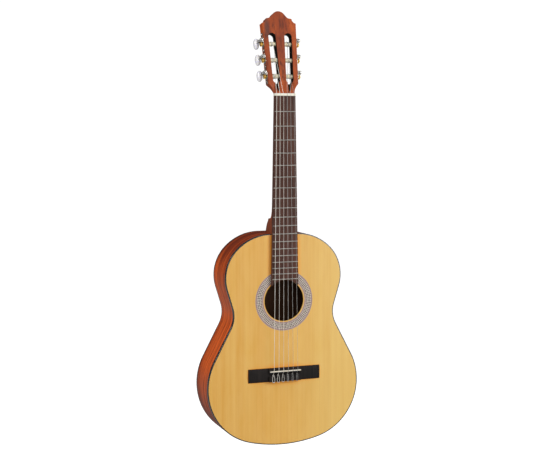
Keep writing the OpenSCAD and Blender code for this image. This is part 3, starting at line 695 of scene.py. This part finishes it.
def flatten(obj):
    """Large flat faces shade flat, and only the narrow rounded edges beside them turn."""
    assign(obj.modifiers.new("normals", "WEIGHTED_NORMAL"), mode="FACE_AREA", weight=100,
           keep_sharp=True)


def piece(name, shape, material, slot, node=None, body="guitar", place=None, smooth=40, uv=None,
          weld=True):
    """A mesh object that rides on its CAD body and stands for a CAD node.

    material may be a list, and then a face's own index picks from it.
    """
    if place is not None:
        shape = moved(shape, place)
    materials = material if isinstance(material, list) else [material]
    obj = shown(name, make_mesh(name, shape, materials, weld, uv))
    shade(obj.data, smooth)
    flatten(obj)
    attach(obj, body)
    if node:
        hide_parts(node)
    return obj


def cut(obj, shapes, material, bevel=0.0):
    """Takes shapes out of obj for good, giving the cut faces their own material.

    bevel rounds the piece's edges, by that many millimetres.
    """
    cutters = []
    for k, shape in enumerate(shapes):
        cutters.append(shown("cutter", make_mesh("cutter", shape, [material], False)))
        assign(obj.modifiers.new(f"cut{k}", "BOOLEAN"), operation="DIFFERENCE",
               object=cutters[-1], solver="EXACT", material_mode="TRANSFER")
    graph = bpy.context.evaluated_depsgraph_get()
    graph.update()
    result = bpy.data.meshes.new_from_object(obj.evaluated_get(graph))
    obj.modifiers.clear()
    obj.data = result
    if bevel:
        assign(obj.modifiers.new("edges", "BEVEL"), width=bevel * MM, segments=2,
               limit_method="ANGLE", angle_limit=math.radians(40), harden_normals=True)
    flatten(obj)
    for cutter in cutters:
        bpy.data.objects.remove(cutter)


def keep(node, material):
    """A CAD node whose shape is right gets its procedural material."""
    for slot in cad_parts[node].material_slots:
        slot.link = "OBJECT"
        slot.material = material


# ---- sound box

def sound_box():
    edge = both_halves(half_outline(RIB_T))
    # The top in three layers: the face outside and inside the rosette's channel, and the floor
    hole, inside, outside = [circle(0, HOLE_Z, r, 160) for r in (HOLE_R, *ROSETTE)]
    top = join(slab([edge, outside], 0, ROSETTE_T), slab([inside, hole], 0, ROSETTE_T),
               slab([edge, hole], ROSETTE_T, TOP_T))
    piece("top_plate", top, TOP, "spruce_top", "soundboard", weld=False)
    back = piece("back_panel", slab([edge], DEPTH - BACK_T, DEPTH), [BACK, INNER_SHADED],
                 "mahogany_back", "back_plate")
    # The back's inside face takes the darkened inner wood: painted shade
    for face in back.data.polygons:
        if face.normal.y < -0.5:
            face.material_index = 1

    # Ribs: U runs along the strip and V across it, so that the grain follows the bends.
    # V starts elsewhere for each side, so that their streaks differ
    outer, inner = half_outline(0)[1:], half_outline(RIB_T)[1:]
    for side, label in SIDES:
        rings, uv, length = [], [], 0.0
        for k, (out, within) in enumerate(zip(outer, inner)):
            length += math.dist(out, outer[max(k - 1, 0)])
            corners = ((out, BINDING_H), (out, DEPTH - BINDING_H), (within, DEPTH - BINDING_H),
                       (within, BINDING_H))
            rings.append([(side * x, y, z) for (x, z), y in corners])
            uv += [(length * MM, (y + 200 * side) * MM) for _, y in corners]
        rib = piece(f"side_{label}", loft(rings), [RIBS, INNER_SHADED], "mahogany_back", f"rib_{label}",
                    uv=uv, weld=False)
        # Every fourth face is on the inside and takes the darkened inner wood, as painted shade.
        # The two end caps come last
        for face in list(rib.data.polygons)[2:-2:4]:
            face.material_index = 1

    # Bindings: a rounded outer corner, swept round the outline
    profile = [(RIB_T, 0.0), (1.1, 0.0), (0.55, 0.14), (0.16, 0.5), (0.0, 1.1), (0.0, BINDING_H),
               (RIB_T, BINDING_H)]
    for label, at, sign in (("top", 0.0, 1.0), ("back", DEPTH, -1.0)):
        loops = [both_halves(half_outline(inset)) for inset, _ in profile]
        rings = [[(x, at + sign * y, z) for (x, z), (_, y) in zip(points, profile)]
                 for points in zip(*loops)]
        piece(f"binding_{label}", loft(rings, loop=True), BINDING, "black_binding",
              f"{label}_binding", smooth=50)

    # Rosette ring, with a little play in its channel
    r0, r1 = ROSETTE[0] + 0.02, ROSETTE[1] - 0.02
    corners = ((r0, 0.0), (sum(ROSETTE) / 2, 0.0), (r1, 0.0), (r1, ROSETTE_T), (r0, ROSETTE_T))
    rings = [[(x, y, z) for x, z in circle(0, HOLE_Z, r, 160)] for r, y in corners]
    piece("rosette_inlay", loft(rings, loop=True), MOSAIC, "rosette_mosaic", "rosette")

    # The parts inside the box take the darkened inner wood: painted shade
    for node in ("linings", "neck_block", "tail_block", "soundhole_patch", "top_braces",
                 "back_braces"):
        keep(node, INNER_SHADED)


# ---- neck

NECK_T = (14.5, 16.6)
HEEL_DEPTH = DEPTH - 2.5
HEEL_TOE = 118.0
TENON = (12.0, 24.0, 82.0)
HEEL_RUN = 80.0
HEEL_WAIST = 0.42
NECK_ROUND = 0.92
CAP_RUN = 30.0
BEND = 30.0


def head_blend(z):
    return max(0.0, (z + BEND) / (NUT_T + BEND))


def neck_depth(z):
    s = z - Z_JOINT
    plain = NECK_T[0] + (NECK_T[1] - NECK_T[0]) * z / Z_JOINT
    if s < CAP_RUN:
        return HEEL_DEPTH + (HEEL_TOE - HEEL_DEPTH) * (1 - s / CAP_RUN)
    if s < HEEL_RUN:
        u = (HEEL_RUN - s) / (HEEL_RUN - CAP_RUN)
        return plain + (HEEL_DEPTH - plain) * (1 - math.sqrt(max(0.0, 1 - u * u)))
    return plain + (HEAD_Y + HEAD_T / math.cos(TILT) - plain) * head_blend(z) ** 2


def neck_point(z, t):
    """Point t of the way round one side of the section at height z."""
    d, e, top = neck_depth(z), NECK_ROUND, math.radians(87)
    if d > HEEL_DEPTH:
        top = math.asin((HEEL_DEPTH / d) ** (1 / e))
    a = top * t
    y = d * math.sin(a) ** e if t else 0.0
    return board_half(z) * math.cos(a) ** e * (1 - HEEL_WAIST * y / DEPTH), y


def neck():
    around = 30
    levels = [NUT_T - i * 1.25 for i in range(28)]
    levels += [-BEND - i * (-Z_JOINT - HEEL_RUN - BEND) / 28 for i in range(28)]
    levels += [Z_JOINT + HEEL_RUN - (HEEL_RUN - CAP_RUN) * math.sin(math.radians(90 * i / 34))
               for i in range(35)]
    levels += [Z_JOINT + CAP_RUN * (1 - i / 12) for i in range(1, 13)]
    rings = []
    for z in levels:
        half = [neck_point(z, k / around) for k in range(around + 1)]
        rings.append([(x, y, z) for x, y in half] + [(-x, y, z) for x, y in reversed(half)])
    half, y0, y1 = TENON
    tenon = [[(half, y0, z), (half, y1, z), (-half, y1, z), (-half, y0, z)]
             for z in (Z_JOINT + 1.0, Z_JOINT - RIB_T - 14.0)]
    piece("neck_shaft", join(loft(rings), loft(tenon)), NECK, "mahogany_neck", "neck", smooth=38)

    heights = [Z_JOINT + (CAP_RUN - 0.3) * i / 24 for i in range(25)]
    edge = [(neck_point(z, 1.0)[0], z) for z in heights]
    edge = [(x, z) for x, z in edge if x > 0.05]
    outline = edge + [(-x, z) for x, z in reversed(edge)]
    piece("heel_plate", slab([outline], HEEL_DEPTH, DEPTH, 0.4), EBONY, "black_wood", "heel_cap")


def fingerboard():
    reach = board_half(HOLE_Z + 35)
    a0 = math.degrees(math.acos(reach / HOLE_R))
    end = arc((0, HOLE_Z), HOLE_R, a0, 180 - a0)
    outline = [(NUT_W / 2, 0.0)] + end + [(-NUT_W / 2, 0.0)]
    piece("finger_board", slab([outline], -BOARD_T, 0, 0.35), ROSEWOOD, "rosewood",
          "fingerboard")

    # Frets: a domed wire, with its ends sloped and rounded over
    ends = ((0.0, 0.12), (0.15, 0.45), (0.5, 0.78), (1.0, 1.0))
    dome = [(math.sin(math.pi * k / 12), math.cos(math.pi * k / 12)) for k in range(13)]
    wires = []
    for n in range(1, FRETS + 1):
        z, half = fret_z(n), board_half(fret_z(n)) - 0.4
        rings = []
        for x, size in ([(-half + d, size) for d, size in ends]
                        + [(half - d, size) for d, size in reversed(ends)]):
            rings.append([(x, -BOARD_T - 1.1 * size * up, z + 1.05 * along) for up, along in dome]
                         + [(x, -BOARD_T + 0.3, z - 0.9), (x, -BOARD_T + 0.3, z + 0.9)])
        wires.append(loft(rings))
    piece("fret_wires", join(*wires), FRET_NICKEL, "fret_nickel", "frets", smooth=45)


def nut():
    """The nut's cross-section with its slots, drawn out over its thickness."""
    top = FLOOR_UNDER_NUT + 2.0
    half = NUT_W / 2

    def section(z, drop, shrink):
        crest = -top + drop
        ring = [(-half + shrink, 0.0, z), (-half + shrink, crest + 1.0, z),
                (-half + 0.3 + shrink, crest + 0.3, z), (-half + 1.0 + shrink, crest, z)]
        for i in range(6, 0, -1):
            x, r = string_x(i, NUT_SPREAD), string_r(i) + 0.04
            run = roller_touch(i) - nut_break(i)
            deep = -FLOOR_UNDER_NUT - string_r(i) + max(0.0, z - 2.0) * (run.y / run.z)
            ring.append((x - r - 0.12, crest, z))
            for k in range(7):
                a = math.pi * k / 6
                ring.append((x - r * math.cos(a), deep + r * math.sin(a), z))
            ring.append((x + r + 0.12, crest, z))
        ring += [(half - 1.0 - shrink, crest, z), (half - 0.3 - shrink, crest + 0.3, z),
                 (half - shrink, crest + 1.0, z), (half - shrink, 0.0, z)]
        return ring

    levels = [(0.0, 0.45, 0.25), (0.25, 0.12, 0.06), (0.7, 0.0, 0.0), (2.0, 0.0, 0.0),
              (4.2, 0.10, 0.0), (5.3, 0.45, 0.06), (6.0, 1.3, 0.25)]
    piece("nut_bar", loft([section(*level) for level in levels]), BONE, "bone", "nut")


# ---- head

THROAT_R = 30


def cheek(a):
    """The head's half width at height a along it."""
    return HEAD_HALF + (a - HEAD_FOOT) * math.tan(FLARE)


def head_outline():
    half = (
        [(0.0, -8.0), (NUT_W / 2, -8.0)]
        + arc((NUT_W / 2 + THROAT_R, 0), THROAT_R, 180, 133, step=2)
        + [(cheek(a), a) for a in (24.5, 60, 110, 169)]
        + arc((44.5, HEAD_LEN - 17), 12.3, 262, 200, step=4)
        + arc((29.8, HEAD_LEN - 20.6), 3.2, 5, 92, step=9)
        + arc((28, HEAD_LEN - 5.6), 11.5, 268, 215, step=4)
        + arc((0, HEAD_LEN - 18), 18, 35, 90, step=3)
    )
    return both_halves(half)


def slot_loop(side):
    """A string slot's edge in the head's own X and Z."""
    r = SLOT_W / 2
    x = -CHEEK - r
    z0, z1 = SLOT_RUN[0] + r - HEAD_FOOT, SLOT_RUN[1] - r - HEAD_FOOT
    loop = arc((x, z1), r, 0, 180, step=6) + arc((x, z0), r, 180, 360, step=6)
    to_head = HEAD.inverted() @ machine(side)
    places = [to_head @ Vector((p, 0, q)) for p, q in loop]
    return [(p.x, p.z) for p in places]


def corner_shape(side):
    """What is carved off a lower back corner: round at the neck, and gone further up."""
    rings = []
    run, steps, around = 27.0, 18, 16
    for i in range(steps + 1):
        t = i / steps
        a = -4.0 + (run + 4.0) * t
        e = 0.02 + 0.90 * (1 - max(0.0, a) / run) ** 1.3
        # The head's half width here, a little outside its side
        if a <= 0:
            half = NUT_W / 2
        elif a < 21.9:
            half = NUT_W / 2 + THROAT_R - math.sqrt(THROAT_R ** 2 - a * a)
        else:
            half = min(35.5 + (a - 21.9) * 0.75, cheek(a))
        ring = []
        for k in range(around + 1):
            b = math.pi / 2 * k / around
            c, q = max(0.0, math.cos(b)), math.sin(b)
            ring.append(((half + 0.05) * c ** e if c > 1e-6 else 0.0, (HEAD_T + 0.05) * q ** e, a))
        ring += [(0.0, 45.0, a), (75.0, 45.0, a), (75.0, 0.0, a)]
        rings.append([HEAD @ Vector((side * x, y, z)) for x, y, z in ring])
    return loft(rings)


def head():
    shape = flat([head_outline(), slot_loop(-1), slot_loop(1)], HEAD_T, 0.6, 3)
    obj = piece("head_slab", shape, [HEAD_WOOD, SLOT_DARK], "mahogany_neck", "headstock",
                place=HEAD @ UPRIGHT, smooth=35)

    below = [[(x, y, z) for x, y in ((-60, -40), (60, -40), (60, 60), (-60, 60))]
             for z in (NUT_T - 60, NUT_T)]
    cut(obj, [loft(below)], HEAD_WOOD)
    ramps, bores = [], []
    for side in (-1, 1):
        # Ramp that lets the strings down into the slot: a scoop that narrows to a point
        foot, top = Vector((13.2 * side, -0.9, 6.0)), Vector((16.7 * side, 6.6, 33.5))
        turn = (top - foot).to_track_quat("Z", "Y").to_matrix().to_4x4()
        length = (top - foot).length
        cone = lathe([(0.0, 0.0), (1.0, 0.0), (8.8, length), (0.0, length)], 36)
        ramps.append(moved(cone, HEAD @ shift(*foot) @ turn))
        for k in range(3):
            hole = rod(0.0, ROLLER_R + 0.07, ROLLER_IN + 2, 32)
            at = shift(-ROLLER_IN - 0.3, AXLE, k * PITCH)
            bores.append(moved(hole, machine(side) @ at @ ALONG_X))
    cut(obj, [corner_shape(side) for side in (-1, 1)], HEAD_WOOD)
    cut(obj, ramps, SLOT_DARK)
    cut(obj, bores, SLOT_DARK)

    # The slots' walls are stained dark
    dark = [m.name for m in obj.data.materials].index(SLOT_DARK.name)
    for face in obj.data.polygons:
        centre = face.center / MM
        for side in (-1, 1):
            p = machine(side).inverted() @ centre
            n = HEAD.to_3x3().inverted() @ face.normal
            inside = -CHEEK - SLOT_W - 0.3 < p.x < -CHEEK + 0.3
            along = SLOT_RUN[0] - 0.5 < p.z + HEAD_FOOT < SLOT_RUN[1] + 0.5
            if inside and along and abs(n.y) < 0.6:
                face.material_index = dark
    shade(obj.data, 35)


# ---- bridge

def mirrored_ends(ends):
    """Stations along X from one end's: (distance from the middle, other values)."""
    return [(-x, *rest) for x, *rest in ends] + list(reversed(ends))


def bridge():
    z_front = SADDLE_Z + BRIDGE_AHEAD
    z_rear = z_front - BRIDGE_DEEP
    z_tie, z_end = SADDLE_Z - TIE_BEHIND[0], SADDLE_Z - TIE_BEHIND[1]
    # Wings: a low rounded bar that thins towards the tips
    profile = [(0, 0), (0.1, 1.6), (1.0, 2.6), (3, 3.3), (7, 4.1), (12, 4.45), (20, 4.45),
               (26, 4.1), (30, 3.3), (32, 2.6), (32.9, 1.6), (33, 0)]
    ends = ((91, 0.42, 0.35), (90.4, 0.5, 0.12), (89, 0.56, 0), (80, 0.78, 0), (70, 0.96, 0),
            (60, 1.0, 0))
    rings = []
    for x, size, draw in mirrored_ends(ends):
        rings.append([(x, -h * size, z_front - z * (1 - draw / 16.5) - draw) for z, h in profile])
    piece("bridge_wings", loft(rings), EBONY, "black_wood", "bridge", smooth=35)

    core = [
        (z_front, 0), (z_front, 4), (z_front - 0.8, 6.2), (z_front - 3, 8.6), (z_front - 4.5, 9),
        (z_front - 10.5, 9), (z_front - 11.8, 8.2), (z_front - 14, 3.8), (z_tie, 3.8),
        (z_tie, TIE_H), (z_end + 1, TIE_H), (z_end, TIE_H - 1), (z_end, 0)
    ]
    block = loft([[(x, -h, z) for z, h in core] for x in (-40, 40)])
    obj = piece("bridge_core", block, EBONY, "black_wood", smooth=30)
    holes = [moved(rod(0, 1.15, 20, 20), shift(string_x(i, SADDLE_SPREAD), -5.2, z_rear - 2))
             for i in range(1, 7)]
    cut(obj, holes, EBONY, 0.45)
    shade(obj.data, 35)

    # Saddle: rounded crest and ends
    z0 = SADDLE_Z + 0.8
    profile = [(0, 4.05), (0, SADDLE_H - 0.5), (0.25, SADDLE_H - 0.12), (0.75, SADDLE_H),
               (1.4, SADDLE_H - 0.2), (2.2, SADDLE_H - 0.9), (2.8, SADDLE_H - 2.0),
               (3, SADDLE_H - 3.2), (3, 4.05)]
    ends = ((39.3, 1.3, 0.5), (38.9, 0.6, 0.2), (38.2, 0.15, 0.05), (36.8, 0, 0))
    rings = []
    for x, drop, thin in mirrored_ends(ends):
        rings.append([(x, -max(4.05, h - drop), z0 - 1.5 - (z - 1.5) * (1 - thin))
                      for z, h in profile])
    piece("saddle_bar", loft(rings), BONE, "bone", "saddle")


# ---- strings

def string_finish(i):
    """A string's material and slot: nylon trebles and wound basses."""
    return (CLEAR_STRING, "clear_nylon") if i <= 3 else (WOUND_STRING, "wound_string")


def strings():
    for i in range(1, 7):
        r, x = string_r(i), string_x(i, SADDLE_SPREAD)
        front, rear = SADDLE_Z - TIE_BEHIND[0], SADDLE_Z - TIE_BEHIND[1]
        over = -TIE_H - r - 0.05
        start = nut_break(i)
        knot = front + 2.0
        knot_y = -5.2 - (knot - front) * 0.8
        near = 1.0 + r
        wide = 2.9 if i > 3 else 1.6
        # One leg of the tie loop, from the back of the block to the knot in front of it
        leg = [(wide, over, rear + 1.2), (wide, over, rear + 6.5),
               (wide * 0.7 + near * 0.3, over, rear + 11.0), (near, over, front - 0.4),
               (near, over + 1.6, knot - 0.6), (r + 0.5, knot_y - 0.6 * r, knot + 0.2)]
        path = [
            roller_touch(i),
            start,
            (start.x, start.y, 0.1),
            (x, -SADDLE_H - r - 0.03, SADDLE_Z + 0.6),
            (x, -SADDLE_H - r - 0.03, SADDLE_Z - 0.35),
            (x, -5.6, front + 0.5),
            (x, -5.2, front - 0.6),
            (x, -5.2, rear + 0.8),
            (x + 0.6, -5.6, rear - r - 0.3),
            (x + wide - 0.7, over + 1.2, rear - r - 0.3),
            *[(x + dx, y, z) for dx, y, z in leg],
            (x, knot_y - 2 * r - 0.1, knot + 0.4),
            *[(x - dx, y, z) for dx, y, z in reversed(leg)],
            (x - wide + 0.5, over + 0.9, rear - r - 0.1),
            (x, over + 1.4, rear - 2.2 * r),
            (x + wide + 0.3, over + 1.9, rear - 3.2 * r),
        ]
        piece(f"strand_{i}", tube(soften(path, 1.1), r, 12), *string_finish(i), f"string_{i}",
              smooth=50, weld=False)


# ---- machine heads

def plate_outline():
    """The plate's edge in depth and height: full width at the machines, beads between them."""
    lumps = [(z, 5.0) for z in (SCREWS[0], SCREWS[3])]
    lumps += [(z, 4.7) for z in SCREWS[1:3]]
    lumps += [(z + s * 6.6, 2.9) for z in SCREWS[1:3] for s in (-1, 1)]
    lumps += [(SCREWS[0] + 5.6, 3.0), (SCREWS[3] - 6.2, 3.0)]
    corner = 4.0

    def half(z):
        w = 2.0
        for c, r in lumps:
            if abs(z - c) < r:
                w = max(w, math.sqrt(r * r - (z - c) ** 2))
        for k in range(3):
            d = min(z - k * PITCH + 8.0, k * PITCH + 15.0 - z)
            if d > 0:
                gap = max(0.0, corner - d)
                w = max(w, 7.5 - corner + math.sqrt(corner ** 2 - gap ** 2))
        return w

    z0, z1, n = -18.99, 104.99, 248
    right = []
    for k in range(n + 1):
        z = z0 + (z1 - z0) * k / n
        right.append((AXLE + (half(z) if 0 < k < n else 0.4), z))
    left = [(2 * AXLE - y, z) for y, z in reversed(right)]
    return right + left


def machine_plates():
    holes = [circle(AXLE, z + s * 4.6, 0.9, 16) for z in (23.5, 62.5) for s in (-1, 1)]
    plate = moved(flat([plate_outline()] + holes, PLATE_T, 0.25, 2), SIDEWAYS)
    lugs = []
    for k in range(3):
        z = k * PITCH + WORM_Z
        outline = ([(0.5, -LUG_R + z), (0.5, LUG_R + z)]
                   + [(GEAR_X + p, q + z) for p, q in arc((0, 0), LUG_R, 90, -90, step=6)])
        hole = circle(GEAR_X, z, SHAFT_R + 0.05, 32)
        for y in (AXLE - LUG_AT - LUG_T, AXLE + LUG_AT):
            lugs.append(slab([outline, hole], y, y + LUG_T, 0.6))
    for side, label in SIDES:
        piece(f"tuner_plate_{label}", join(plate, *lugs), NICKEL, "nickel_plate",
              f"machine_plate_{label}", place=machine(side))
    keep("plate_screws", NICKEL)


def worm_shape(hand):
    """Thread, core, shaft and collars, along Y about the worm's own centre."""
    per_turn, turns = 36, 2 * WORM_HALF / WORM_LEAD - 0.4
    n = round(turns * per_turn)
    rings = []
    for i in range(n + 1):
        a = 2 * math.pi * (i - (n + per_turn) / 2) / per_turn
        y = WORM_LEAD * a / (2 * math.pi) + WORM_LEAD / 2
        fade = min(1.0, 0.1 + min(i, n - i) / 12)
        tip = WORM_ROOT + (WORM_TIP - WORM_ROOT) * fade
        section = ((WORM_ROOT - 0.35, -0.72), (tip - 0.12, -0.30), (tip, -0.18), (tip, 0.18),
                   (tip - 0.12, 0.30), (WORM_ROOT - 0.35, 0.72))
        rings.append([(hand * r * math.sin(a), y + q, -r * math.cos(a)) for r, q in section])
    thread = loft(rings)
    y0, y1 = -LUG_AT - LUG_T - 1.6, BUTTON[1] - AXLE - 5
    end = LUG_AT + LUG_T
    profile = [(0, y0 - 0.9), (1.2, y0 - 0.82), (2.1, y0 - 0.55), (2.7, y0 - 0.05),
               (2.9, y0 + 0.4), (2.6, y0 + 0.7), (SHAFT_R, y0 + 0.7), (SHAFT_R, -WORM_HALF - 0.4),
               (WORM_ROOT - 0.2, -WORM_HALF - 0.4), (WORM_ROOT, -WORM_HALF - 0.1),
               (WORM_ROOT, WORM_HALF + 0.1),
               (WORM_ROOT - 0.2, WORM_HALF + 0.4), (SHAFT_R, WORM_HALF + 0.4), (SHAFT_R, end + 0.6),
               (2.7, end + 0.6), (3.0, end + 0.9), (3.0, end + 2.1), (2.7, end + 2.4),
               (SHAFT_R, end + 2.4), (SHAFT_R, y1), (0, y1)]
    return join(thread, moved(lathe(profile, 32), Matrix.Rotation(-math.pi / 2, 4, "X")))


def button_shape():
    """A full flattened oval, squarer in its outline than in its edges."""
    def squarer(v):
        return math.copysign(abs(v) ** 0.92, v)

    y_mid, y_half = (BUTTON[0] + BUTTON[1]) / 2, (BUTTON[1] - BUTTON[0]) / 2
    across, down, rows = 6.25, 13.0, 24
    rings = []
    for i in range(rows + 1):
        t = -1 + 2 * i / rows
        width = 0.05 if i in (0, rows) else (1 - abs(t) ** 2.6) ** (1 / 2.6)
        rings.append([(across * width ** 1.15 * squarer(math.cos(a)), y_mid + y_half * t,
                       down * width * squarer(math.sin(a))) for a in ring_angles(48)])
    return loft(rings)


def gear_shape():
    points = []
    for k in range(GEAR_TEETH):
        for dr, half in ((-0.8, -0.64), (0, -0.42), (0.5, -0.26), (0.6, -0.16), (0.6, 0.16),
                         (0.5, 0.26), (0, 0.42), (-0.8, 0.64)):
            r = GEAR_R + dr
            a = math.pi / 2 - k * 2 * math.pi / GEAR_TEETH - math.atan(half / r)
            points.append((r * math.cos(a), r * math.sin(a)))
    rim = flat([points, circle(0, 0, 2.0, 40)], GEAR_W, 0.12, 1)
    hub = rod(PLATE_T + 0.1 - GEAR_X, 3.3, 0, 40)
    boss = rod(0, 3.7, GEAR_W / 2 + 0.05, 40)
    return join(moved(rim, shift(-GEAR_W / 2, 0, 0) @ SIDEWAYS), moved(hub, ALONG_X),
                moved(boss, ALONG_X))


def gear_screw_shape():
    """Domed screw head with a straight slot, on the gear's outer face."""
    x0, r, depth, half = GEAR_W / 2 + 0.05, 3.2, 0.6, 0.36
    shapes = []
    for sign in (-1, 1):
        loops = []
        for rr, x in ((r, x0), (r, x0 + 0.7), (r * 0.93, x0 + 1.15), (r * 0.72, x0 + 1.45),
                      (r * 0.45, x0 + 1.5)):
            a = math.degrees(math.asin(min(0.95, half / rr)))
            edge = arc((0, 0), rr, a, 180 - a, step=(180 - 2 * a) / 24)
            loops.append([(x, p, sign * q) for p, q in edge])
        shapes.append(loft(loops))
    floor = [[(x, p, q) for p, q in circle(0, 0, r * 0.98, 36)] for x in (x0, x0 + 1.5 - depth)]
    return join(loft(floor), *shapes)


def roller_shape():
    profile = [(0, 0), (ROLLER_R - 0.4, 0), (ROLLER_R, 0.4), (ROLLER_R, ROLLER_IN - 0.5),
               (ROLLER_R - 0.4, ROLLER_IN - 0.1), (0, ROLLER_IN - 0.1)]
    return moved(lathe(profile, 48), shift(-ROLLER_IN, 0, 0) @ ALONG_X)


def winding_shape(i):
    """The string's turns: a coil that starts where the string arrives, then dips into the hole."""
    def around(x, radius, a):
        return Vector((x, radius * math.sin(a), radius * math.cos(a)))

    r, ring_r, a0 = string_r(i), winding_r(i), touch_angle(i)
    turns, per_turn = 3.4, 28
    pitch, n = 2 * r + 0.05, int(turns * per_turn)
    path = [around(winding_x(i) + pitch * (0.55 + k / per_turn), ring_r,
                   a0 + 2 * math.pi * k / per_turn) for k in range(n + 1)]
    # The free end crosses back over the turns to the hole and stands out beyond it
    a_end = a0 + 2 * math.pi * turns
    hole, radial = Vector((winding_x(i) - 3.0, 0, 0)), around(0, 1, a_end + 1.25)
    for share in (0.25, 0.5, 0.75):
        x = path[n].x + (hole.x - path[n].x) * share
        path.append(around(x, ring_r + 2 * r + 0.2, a_end + share))
    path += [hole + radial * (ring_r + 0.6), hole + radial * 2.0, hole - radial * (ring_r + 3.2)]
    return tube(path[:n] + soften(path[n - 1:], 0.9, 4)[1:], r, 10)


def machines():
    for i in range(1, 7):
        side, z = side_of(i), step_of(i) * PITCH
        knob, axle = f"tuner_{i}_knob", f"tuner_{i}_roller"
        worm_z = z + WORM_Z
        for name, shape, finish, node, body, spot, smooth in (
            ("worm_screw", worm_shape(side), (STEEL, "steel"), "worm", knob,
             (GEAR_X, AXLE, worm_z), 38),
            ("grip", button_shape(), (PEARL, "pearl"), "button", knob, (GEAR_X, 0, worm_z), 60),
            ("wheel", gear_shape(), (BRASS, "brass"), "gear", axle, (GEAR_X, AXLE, z), 35),
            ("wheel_screw", gear_screw_shape(), (BRASS, "brass"), "", axle, (GEAR_X, AXLE, z), 35),
            ("barrel", roller_shape(), (NYLON, "cream_nylon"), "roller", axle, (0, AXLE, z), 40),
            ("turns", winding_shape(i), string_finish(i), "winding", axle, (0, AXLE, z), 50),
        ):
            piece(f"{name}_{i}", shape, *finish, node and f"{node}_{i}", body=body,
                  place=machine(side) @ shift(*spot), smooth=smooth, weld=name != "turns")


# ---- stage

WHITE = (1.0, 1.0, 1.0)
CAMERA_AT = (-0.9933, -2.6164, -0.0693)


def area_light(name, place, aim, size, power, colour=WHITE):
    data = assign(bpy.data.lights.new(name, "AREA"), shape="RECTANGLE", size=size[0],
                  size_y=size[1], energy=power, color=colour)
    obj = shown(name, data)
    obj.location = place
    obj.rotation_euler = (Vector(aim) - Vector(place)).to_track_quat("-Z", "Y").to_euler()


def stage():
    scene = bpy.context.scene
    scene.view_settings.view_transform = "Standard"

    data = assign(bpy.data.cameras.new("camera"), lens=77.46, sensor_width=36.0, clip_end=60.0)
    right = Vector((0.9376, -0.3478, -0.0005))
    back = Vector((-0.3465, -0.9343, 0.0838)).normalized()
    right = (right - back * right.dot(back)).normalized()
    turn = Matrix((right, back.cross(right), back)).transposed().to_4x4()
    scene.camera = shown("camera", data)
    scene.camera.matrix_world = shift(*CAMERA_AT) @ turn

    # White surroundings: plain white to the eye, softer as a light
    scene.world = bpy.data.worlds.new("studio")
    scene.world.use_nodes = True
    tree = scene.world.node_tree
    tree.nodes.clear()
    seen = add_node(tree, "Background", {"Color": WHITE, "Strength": 1.05})
    # As a light it is bright in front and above, and dim behind and below
    way = add_node(tree, "TexCoord").outputs["Generated"]
    axes = add_node(tree, "SeparateXYZ", {0: way}).outputs
    lean = add_node(tree, "Math", {0: axes["Z"], 1: -0.6, 2: axes["Y"]}, operation="MULTIPLY_ADD")
    fade = add_node(tree, "MapRange", {"Value": lean.outputs[0], "From Min": 0.55,
                                       "From Max": -1.15, "To Min": 0.05, "To Max": 0.56})
    lit = add_node(tree, "Background", {"Color": WHITE, "Strength": fade.outputs[0]})
    eye = add_node(tree, "LightPath").outputs["Is Camera Ray"]
    mix = add_node(tree, "MixShader", {0: eye, 1: lit.outputs[0], 2: seen.outputs[0]})
    add_node(tree, "OutputWorld", {0: mix.outputs[0]})

    area_light("key", (2.1, -2.2, 0.8), (0, 0, -0.4), (1.0, 1.4), 59.0, (1.0, 0.99, 0.97))
    area_light("left", (-2.4, -0.1, 0.95), (0, 0.05, -0.5), (0.6, 1.2), 31.0, (1.0, 0.97, 0.94))
    area_light("front", (-0.8, -3.4, 0.4), (0, 0, -0.4), (1.6, 1.6), 10.0)
    area_light("sheen", (1.3, -2.6, -0.6), (0.1, 0, -0.45), (0.8, 0.8), 6.0)

    mesh = bpy.data.meshes.new("floor")
    half, level = 9.0, -0.90
    mesh.from_pydata([(-half, -half, level), (half, -half, level), (half, half, level),
                      (-half, half, level)], [], [(0, 1, 2, 3)])
    mesh.materials.append(pale_floor("pale_floor"))
    shown("floor", mesh)


for make in (stage, sound_box, neck, fingerboard, nut, head, bridge, strings, machine_plates,
             machines):
    make()
